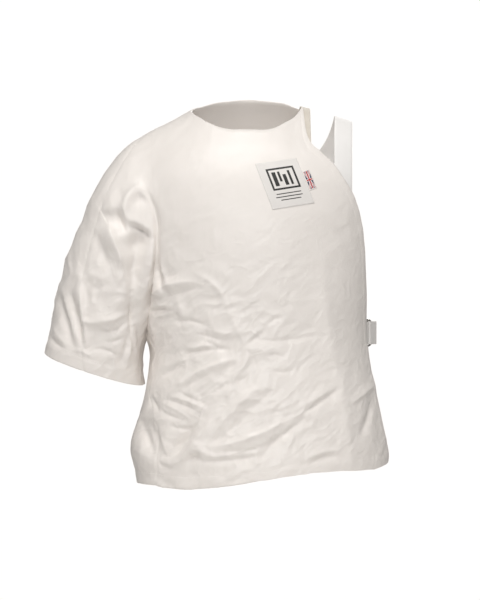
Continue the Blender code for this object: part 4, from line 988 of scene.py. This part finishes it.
sideFastening = {
    "height": -363.8, "wire": 3.0, "tall": 45, "long": 26, "corner": 3.5,  # the ring
    "bar": (190.5, -26.5), "swing": 30,  # its bar in plan, and degrees that it leans out from straight back
    "beside": (8, 15, 22), "outerEnd": 28.5, "innerEnd": (28, -2.4),  # from the bar: the strap's places
    "bend": [(204.3, 5), (204, 14), (200.5, 27), (190, 41), (177.5, 49.5)],  # where the strap leaves the ring
    "strapWidth": 37, "strapTurns": (128, 192),  # in degrees, from where to where it lies under the back
    "strapPoints": (15, 44, 300), "tabPoints": (7, 120),  # under the cloth, on its line, and along the whole
    "freeEnd": 68, "doubledFrom": 10, "doubledTo": 20,  # the end turned back on the strap
    "follow": (20, 35),  # how far back the strap starts to follow the body's slope, and over what length
    "tabWidth": 33, "tabTurns": (57, 75),
    "under": 1.2, "lay": 0.3, "clear": 0.35,  # gaps under the cloth, between layers and round the wire
}
ringHeight = sideFastening["height"] / 1000
wireRadius = sideFastening["wire"] / 2000
swing = math.radians(sideFastening["swing"])
ringOut, ringUp = np.array([math.sin(swing), math.cos(swing), 0.0]), np.array([0.0, 0.0, 1.0])
ringFlat = np.cross(ringOut, ringUp)
ringMiddle = np.array([*(np.array(sideFastening["bar"]) / 1000), ringHeight])
lane = wireRadius + tapeThickness / 2 + sideFastening["clear"] / 1000
underEdge = clothThickness + sideFastening["under"] / 1000 + tapeThickness / 2
layDown = tapeThickness + sideFastening["lay"] / 1000  # between the middles of two layers


# Place in plan of the body at a turn and a height.
def roundBody(turn, z):
    middle, half, front, back = bodySection(z)
    sideways = signedPower(np.sin(turn), 2 / squareness)
    deep = np.where(np.cos(turn) > 0, -front, back)
    return np.stack([middle + half * sideways, deep * np.abs(np.cos(turn)) ** (2 / squareness)], axis=-1)


# The same, moved in by a depth square to the body's outline, whose way is taken over a small step.
def sunkRoundBody(turn, z, depth, step=0.01):
    along = madeUnit(roundBody(turn + step, z) - roundBody(turn - step, z))
    return roundBody(turn, z) - depth * np.stack([along[..., 1], -along[..., 0]], axis=-1)


# A strap on edge along a line in plan, made even. Where its share is 1 its edges follow the body.
def uprightStrap(name, line, turns, shares, width, count, material):
    run = runAlong(line)
    even = np.linspace(0, run[-1], count)
    line = np.stack([smoothCurve(even, run, line[:, k]) for k in (0, 1)], axis=-1)
    turns, shares = (np.interp(even, run, values)[:, None] for values in (turns, shares))
    offsets, share = strapAcross(width)
    heights = ringHeight + offsets
    lean = roundBody(turns, heights[None, :]) - roundBody(turns, np.full((1, 1), ringHeight))
    plan = line[:, None] + shares[..., None] * lean
    grid = np.concatenate([plan, np.broadcast_to(heights[None, :, None], plan.shape[:2] + (1,))], axis=-1)
    normals = gridNormals(grid, np.array([0.0, 0.0, ringHeight]))
    return strapWall(name, grid, normals, share, material, len(offsets) // 2)


# Place in plan beside the ring: along it from its bar, and off its middle plane.
def besideRing(along, off):
    return (ringMiddle + along * ringOut + off * ringFlat)[:2]


# The waist strap: from under the back's edge round the side, through the ring and back over itself.
beside = np.array(sideFastening["beside"]) / 1000
innerEnd = besideRing(*np.array(sideFastening["innerEnd"]) / 1000)
inner = [*(besideRing(place, -lane) for place in beside), innerEnd]
sunkPoints, linePoints, strapPoints = sideFastening["strapPoints"]
sunkTurn = np.radians(np.linspace(*sideFastening["strapTurns"], sunkPoints))
sunk = sunkRoundBody(sunkTurn, ringHeight, underEdge)
mainLine = spacedAlong([*inner, *(np.array(sideFastening["bend"]) / 1000), *sunk], linePoints)
mainAlong = madeUnit(np.gradient(mainLine, axis=0))
mainOut = np.stack([mainAlong[:, 1], -mainAlong[:, 0]], axis=-1)
doubledTo = (sideFastening["doubledTo"] + sideFastening["freeEnd"]) / 1000
doubled = (mainLine[:, 1] > sideFastening["doubledFrom"] / 1000) & (runAlong(mainLine) < doubledTo)
foldedBack = (mainLine + layDown * mainOut)[doubled][::-1]
roundBow = [
    besideRing(beside[0] - lane * math.sin(a), lane * math.cos(a)) for a in np.radians((30, 60, 90, 120, 150))
]
threaded = [besideRing(place, lane) for place in (sideFastening["outerEnd"] / 1000, *beside[::-1])]
strapLine = np.concatenate([foldedBack, threaded, roundBow, mainLine])
middle, half, _, _ = bodySection(ringHeight)
seenAcross = np.clip((strapLine[:, 0] - middle) / half, -1, 1)
strapTurn = math.pi - np.arcsin(signedPower(seenAcross, squareness / 2))
followFrom, followOver = np.array(sideFastening["follow"]) / 1000
strapShare = np.clip((strapLine[:, 1] - followFrom) / followOver, 0, 1)
waistStrap = uprightStrap(
    "waistStrap", strapLine, strapTurn, strapShare, sideFastening["strapWidth"] / 1000, strapPoints,
    ribbedWebbing,
)

# The webbing loop round the ring's bar, with both ends under the front's edge.
sunkPoints, tabPoints = sideFastening["tabPoints"]
tabTurn = np.radians(np.linspace(*sideFastening["tabTurns"], sunkPoints))
tabUpper = sunkRoundBody(tabTurn, ringHeight, underEdge)
tabLower = sunkRoundBody(tabTurn[:-1], ringHeight, underEdge + layDown)[::-1]
roundBar = [
    (ringMiddle + lane * (math.cos(a) * ringOut + math.sin(a) * ringFlat))[:2]
    for a in np.radians(np.arange(105, -106, -30))
]
ringTab = uprightStrap(
    "ringTab", np.concatenate([tabUpper, roundBar, tabLower]),
    np.concatenate([tabTurn, [tabTurn[-1]] * len(roundBar), tabTurn[:-1][::-1]]),
    np.concatenate([np.ones(len(tabUpper)), np.zeros(len(roundBar)), np.ones(len(tabLower))]),
    sideFastening["tabWidth"] / 1000, tabPoints, tabWebbing,
)

# Nickel-plated steel wire: a warm pale metal, drawn smooth and a little dulled by wear.
nickelPlate = newMaterial("nickelPlatedSteel", Roughness=0.3, Metallic=1.0, Base_Color=fromHex("A8A49E"))


# The ring: a straight bar and a half ellipse with a round wire carried along it.
def ringWire(sides=18, bowPoints=73, barPoints=19):
    tallHalf = (sideFastening["tall"] - sideFastening["wire"]) / 2000
    corner = sideFastening["corner"] / 1000
    cut = corner * 0.3  # where the corner's own point lies
    long = sideFastening["long"] / 1000 - corner
    bow = np.linspace(-math.pi / 2, math.pi / 2, bowPoints)
    bar = np.linspace(tallHalf - corner, -tallHalf + corner, barPoints)
    line = np.concatenate([
        np.stack([0 * bar, bar], axis=-1), [[cut, -tallHalf + cut]],
        np.stack([corner + long * np.cos(bow), tallHalf * np.sin(bow)], axis=-1), [[cut, tallHalf - cut]],
    ])
    along = madeUnit(np.roll(line, -1, axis=0) - np.roll(line, 1, axis=0))
    sideways = along[:, 1, None] * ringOut - along[:, 0, None] * ringUp
    around = np.linspace(0, 2 * math.pi, sides, endpoint=False)[None, :, None]
    centre = ringMiddle + line[:, :1] * ringOut + line[:, 1:] * ringUp
    points = centre[:, None] + wireRadius * (np.cos(around) * sideways[:, None] + np.sin(around) * ringFlat)
    index = np.arange(len(line) * sides).reshape(len(line), sides)
    after = np.roll(index, -1, axis=0)
    faces = np.stack([index, np.roll(index, -1, axis=1), np.roll(after, -1, axis=1), after], axis=-1)
    return points, faces.reshape(-1, 4)


ringPoints, ringFaces = ringWire()
corner = ringPoints.reshape(-1, 3)[ringFaces[0]]
if np.cross(corner[1] - corner[0], corner[3] - corner[0]) @ (corner[0] - ringPoints[0].mean(0)) < 0:
    ringFaces = ringFaces[:, ::-1]
dRing = makeObject("dRing", ringPoints, [ringFaces], nickelPlate)

print("sewing on the label and its tab")
labelForm = {
    "corners": [(10.5, -97.9), (75.1, -88.1), (103.4, -159.2), (37.9, -170.2)],  # across, height
    "size": (65, 76), "steps": (44, 50), "thickness": 0.55, "above": 0.15,
    "cloth": ("E4E0DC", "DBD7D3"), "ink": "1F1D1C",
    "marks": [  # middle across and up from the label's own middle, half width and half height, in mm
        (1, 25.2, 21.5, 1.5), (1, -7.7, 21.5, 1.5), (-19, 8.7, 1.5, 17.9), (21, 8.7, 1.5, 17.9),
        (-11, 8.7, 3.0, 11.5), (-3.2, 12.0, 1.8, 8.2), (4.2, 6.0, 2.6, 8.8), (12.2, 8.7, 1.8, 11.5),
        (1, -15.6, 19, 0.75), (0, -20.6, 20.5, 0.75), (1, -25.6, 15.5, 0.75),
    ],
}
tabForm = {
    "corners": [(84.2, -110), (95.3, -105.6), (107.2, -135.5), (96.1, -139.9)],
    "size": (12, 31.5), "steps": (14, 30), "thickness": 0.55, "above": 0.15,
    "cloth": ("E9E4E0", "DFD9D4"), "red": "B3202A", "blue": "23264A", "white": "EFEBE8",
    "flag": (4.7, 14.2),  # half width and half height
    "slanting": ((1.15, "white"), (0.45, "red")), "upright": ((1.75, "white"), (1.0, "red")),  # half widths
}
satinWeave = {"spacing": 1.1, "slant": 0, "depth": 0.05, "roughness": 0.5, "sheen": 0.1, "mottle": 40}


# A small flat piece on the chest, filled between four corners, on the front's own form and creases.
def patchOnChest(name, sizes, material):
    s = np.linspace(0, 1, sizes["steps"][0] + 1)[None, :, None]
    t = np.linspace(0, 1, sizes["steps"][1] + 1)[:, None, None]
    topLeft, topRight, lowRight, lowLeft = np.array(sizes["corners"]) / 1000
    place = (1 - t) * ((1 - s) * topLeft + s * topRight) + t * ((1 - s) * lowLeft + s * lowRight)
    turns = turnAndDown(place.reshape(-1, 2), 1)
    grid = onBody(*turns.T).reshape(*place.shape[:2], 3)
    unit = gridNormals(grid, torsoMiddle)
    grid = grid + (crumple(grid) + creaseRise(grid, unit, ("frontOfTorso",)))[..., None] * unit
    unit = gridNormals(grid, torsoMiddle)
    width, height = np.array(sizes["size"]) / 1000
    uv = np.concatenate([(s - 0.5) * width + 0 * t, (0.5 - t) * height + 0 * s], axis=-1)
    thickness = np.full(grid.shape[:2], sizes["thickness"] / 1000)
    out = grid + (sizes["above"] + sizes["thickness"]) / 1000 * unit
    return clothWall(name, out, unit, thickness, material, uv), unit, out


# A mask that is 1 inside a box given by its middle and half sizes in the cut's own millimetres.
def boxMask(tree, x, y, row):
    masks = []
    for along, middle, halfSize in ((x, row[0], row[2]), (y, row[1], row[3])):
        masks.append(addNode(
            tree, "ShaderNodeMath", {"operation": "COMPARE"}, _0=along, _1=middle / 1000, _2=halfSize / 1000
        ))
    return addNode(tree, "ShaderNodeMath", {"operation": "MULTIPLY"}, _0=(masks[0], 0), _1=(masks[1], 0))


# Lays a colour over what is there, where the mask is 1.
def overlaid(tree, under, mask, colour):
    return addNode(
        tree, "ShaderNodeMix", {"data_type": "RGBA"}, Factor=(mask, 0), _6=(under, 2), _7=fromHex(colour)
    )


# Satin cloth to print on, with the ground to lay colours over and the cut's own two measures.
def printedCloth(name, sizes):
    material = wovenCloth(name, *sizes["cloth"], **satinWeave)
    tree = material.node_tree
    shader = tree.nodes["Principled BSDF"]
    ground = shader.inputs["Base Color"].links[0].from_node
    place = next(node for node in tree.nodes if node.type == "UVMAP")
    apart = addNode(tree, "ShaderNodeSeparateXYZ", Vector=(place, "UV"))
    return material, tree, shader, ground, (apart, 0), (apart, 1)


# Satin label: smooth, slightly shiny and greyer than the cotton, printed with plain black bars and rules.
satinLabel, tree, shader, ground, x, y = printedCloth("printedSatinLabel", labelForm)
for mark in labelForm["marks"]:
    ground = overlaid(tree, ground, boxMask(tree, x, y, mark), labelForm["ink"])
tree.links.new(ground.outputs[2], shader.inputs["Base Color"])
label, labelUnit, labelOut = patchOnChest("labelSatin", labelForm, satinLabel)

# The tab: a country's flag on end, printed small. Two slanting bars cross under an upright cross, each red
# with a white edge, on dark blue. The slanting ones are the places where two sizes have the same share.
satinTab, tree, shader, ground, x, y = printedCloth("printedSatinTab", tabForm)
halfWide, halfTall = tabForm["flag"]
flag = boxMask(tree, x, y, (0, 0, halfWide, halfTall))
ground = overlaid(tree, ground, flag, tabForm["blue"])
shareX = addNode(tree, "ShaderNodeMath", {"operation": "ABSOLUTE"}, _0=x)
shareY = addNode(tree, "ShaderNodeMath", {"operation": "ABSOLUTE"}, _0=y)
shareY = addNode(tree, "ShaderNodeMath", {"operation": "MULTIPLY"}, _0=(shareY, 0), _1=halfWide / halfTall)
for halfWidth, colour in tabForm["slanting"]:
    slanting = addNode(
        tree, "ShaderNodeMath", {"operation": "COMPARE"}, _0=(shareX, 0), _1=(shareY, 0), _2=halfWidth / 1000
    )
    slanting = addNode(tree, "ShaderNodeMath", {"operation": "MULTIPLY"}, _0=(slanting, 0), _1=(flag, 0))
    ground = overlaid(tree, ground, slanting, tabForm[colour])
for halfWidth, colour in tabForm["upright"]:
    for mark in ((0, 0, halfWidth, halfTall), (0, 0, halfWide, halfWidth)):
        ground = overlaid(tree, ground, boxMask(tree, x, y, mark), tabForm[colour])
tree.links.new(ground.outputs[2], shader.inputs["Base Color"])
edgeTab, _, _ = patchOnChest("edgeTabSatin", tabForm, satinTab)

for piece, node, slotName, sheetSize, rests in (
    (neckTape, "neck_tape", "cotton_tape", (0.0145, 0.325), ()),
    (shoulderStrap, "shoulder_strap", "elastic", (0.029, 0.62), ()),
    (waistStrap, "waist_strap", "webbing", (0.037, 0.34), ()),
    (ringTab, "ring_tab", "tab_webbing", (0.033, 0.11), ()),
    (label, "label", "woven_label", (0.065, 0.073), ["frontCloth"]),
    (edgeTab, "edge_tab", "woven_tab", (0.012, 0.032), ["frontCloth"]),
    (dRing, "d_ring", "nickel_steel", None, None),
):
    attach(piece, "root")
    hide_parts(node)

print("topstitching")
stitchForm = {
    "length": 2.7, "pitch": 3.3, "thread": 0.48, "above": 0.12, "labelInset": 1.6,
    "around": 6, "rings": 5,  # six around, since the ends are closed for six
    "dive": 2.2, "ahead": 0.0008,  # how deep the ends go, and metres over which the way along is taken
}


# One stitch is a bent capsule: rings of thread that thin out to both ends, where the thread dives in.
def stitchesAlong(points, normals):
    run = runAlong(points)
    middles = np.arange(stitchForm["pitch"] / 2000, run[-1], stitchForm["pitch"] / 1000)
    centre, up = readAt(middles, run, points), madeUnit(readAt(middles, run, normals))
    step = stitchForm["ahead"]
    ahead, behind = readAt(middles + step, run, points), readAt(middles - step, run, points)
    along = madeUnit(ahead - behind)
    side = np.cross(up, along)
    a = np.linspace(-1, 1, stitchForm["rings"])[None, :, None, None]
    b = np.linspace(0, 2 * math.pi, stitchForm["around"], endpoint=False)[None, None, :, None]
    thick = stitchForm["thread"] / 2000 * np.sqrt(1.02 - a**2)  # 1.02, so that the ends aren't points
    lift = stitchForm["above"] / 1000 * (1 - stitchForm["dive"] * a**2)
    centre, up, along, side = (v[:, None, None] for v in (centre, up, along, side))
    middle = centre + along * a * stitchForm["length"] / 2000
    return (middle + up * (lift + thick * np.sin(b)) + side * thick * np.cos(b)).reshape(-1, 3)


stitchLines = []
for name, edge, facing, first in (
    ("front", "low", "hem", 0), ("front", "right", "freeEdge", 0), ("back", "low", "hem", 0),
    ("back", "right", "freeEdge", 0), ("front", "high", "neck", shoulderCount),
    ("back", "high", "neck", shoulderCount), ("sleeve_front", "high", "cuff", 0),
    ("sleeve_back", "high", "cuff", 0),
):
    line = insetLine(*cloth(name), edge, panelForm[facing][0] / 1000)
    stitchLines.append([part[first:] for part in line])
for edge in ("low", "high", "left", "right"):
    stitchLines.append(insetLine(labelOut, labelUnit, edge, stitchForm["labelInset"] / 1000))
stitchPoints = np.concatenate([stitchesAlong(*line) for line in stitchLines])
around, rings = stitchForm["around"], stitchForm["rings"]
one = np.arange(around * rings).reshape(rings, around)
oneFaces = np.stack([one[:-1], np.roll(one[:-1], -1, 1), np.roll(one[1:], -1, 1), one[1:]], -1).reshape(-1, 4)
last = around * (rings - 1)
caps = np.array([
    [0, 5, 4, 3], [0, 3, 2, 1], [last, last + 1, last + 2, last + 3], [last, last + 3, last + 4, last + 5],
])
oneFaces = np.concatenate([oneFaces, caps])
count = len(stitchPoints) // (around * rings)
stitchFaces = (oneFaces[None] + (np.arange(count) * around * rings)[:, None, None]).reshape(-1, 4)
# Spun polyester thread: white and a little glossier than the cotton.
thread = newMaterial("spunPolyesterThread", Roughness=0.5, Sheen_Weight=0.1, Base_Color=fromHex("F1ECE7"))
stitching = makeObject("topstitching", stitchPoints, [stitchFaces], thread)
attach(stitching, "root")

print("setting up the studio")
studio = {
    "floorHeight": -0.95, "floorReach": 1.08, "floorCorners": 96, "floor": "E6E4E1",
    "white": "FFFDFB", "ground": 1.04,  # brightness of the white ground behind the garment
    "around": 0.25,  # brightness of the light that comes from all round
    "lights": [  # name, place, size, power, colour: soft boxes turned to the garment's middle
        ("topBox", (-0.2, -1.2, 2.4), 0.8, 30, "FFFEFC"), ("keyBox", (-0.5, -2.1, 2.05), 0.8, 22, "FFFEFC"),
        ("frontBox", (-0.12, -3.7, 0.0), 0.4, 38, "FFFFFF"), ("leftBox", (-2.6, -2.0, 0.5), 1.0, 5, "FFFFFF"),
        ("rightBox", (2.6, -2.0, 0.5), 1.0, 6, "FFFFFF"), ("backBox", (1.2, 2.8, 1.4), 1.4, 60, "FFFFFF"),
    ],
    "litPlace": (0, 0, -0.3),  # the garment's middle
    "lens": 129.6, "sensor": 36, "seenFrom": (-0.013, -3.5, -0.311), "clipEnd": 100,
}
bpy.context.scene.view_settings.view_transform = "Standard"  # keeps the white ground white
turns = np.linspace(0, 2 * math.pi, studio["floorCorners"], endpoint=False)
floorPoints = np.stack([np.cos(turns), np.sin(turns), 0 * turns], axis=-1) * studio["floorReach"]
floorPoints[:, 2] = studio["floorHeight"]
# Matt floor paint: a pale grey with no shine.
palePaint = newMaterial(
    "mattFloorPaint", Roughness=0.9, Specular_IOR_Level=0.1, Base_Color=fromHex(studio["floor"])
)
floor = makeObject("floor", floorPoints, [np.arange(len(turns))[None]], palePaint)
world = bpy.data.worlds.new("softWhite")
bpy.context.scene.world = world
world.use_nodes = True
background = world.node_tree.nodes["Background"]
seen = addNode(world.node_tree, "ShaderNodeLightPath")
bright = addNode(
    world.node_tree, "ShaderNodeMapRange", Value=(seen, 0), To_Min=studio["around"], To_Max=studio["ground"]
)
world.node_tree.links.new(bright.outputs[0], background.inputs["Strength"])
background.inputs["Color"].default_value = fromHex(studio["white"])
for name, place, size, power, colour in studio["lights"]:
    lamp = bpy.data.lights.new(name, "AREA")
    lamp.shape, lamp.size, lamp.energy, lamp.color = "DISK", size, power, fromHex(colour)[:3]
    box = bpy.data.objects.new(name, lamp)
    bpy.context.scene.collection.objects.link(box)
    box.location = place
    box.rotation_euler = (Vector(studio["litPlace"]) - Vector(place)).to_track_quat("-Z", "Y").to_euler()

camera = bpy.data.cameras.new("camera")
camera.lens, camera.sensor_width, camera.clip_end = studio["lens"], studio["sensor"], studio["clipEnd"]
cameraObject = bpy.data.objects.new("camera", camera)
cameraObject.location, cameraObject.rotation_euler = studio["seenFrom"], (math.radians(90), 0, 0)
bpy.context.scene.collection.objects.link(cameraObject)
bpy.context.scene.camera = cameraObject
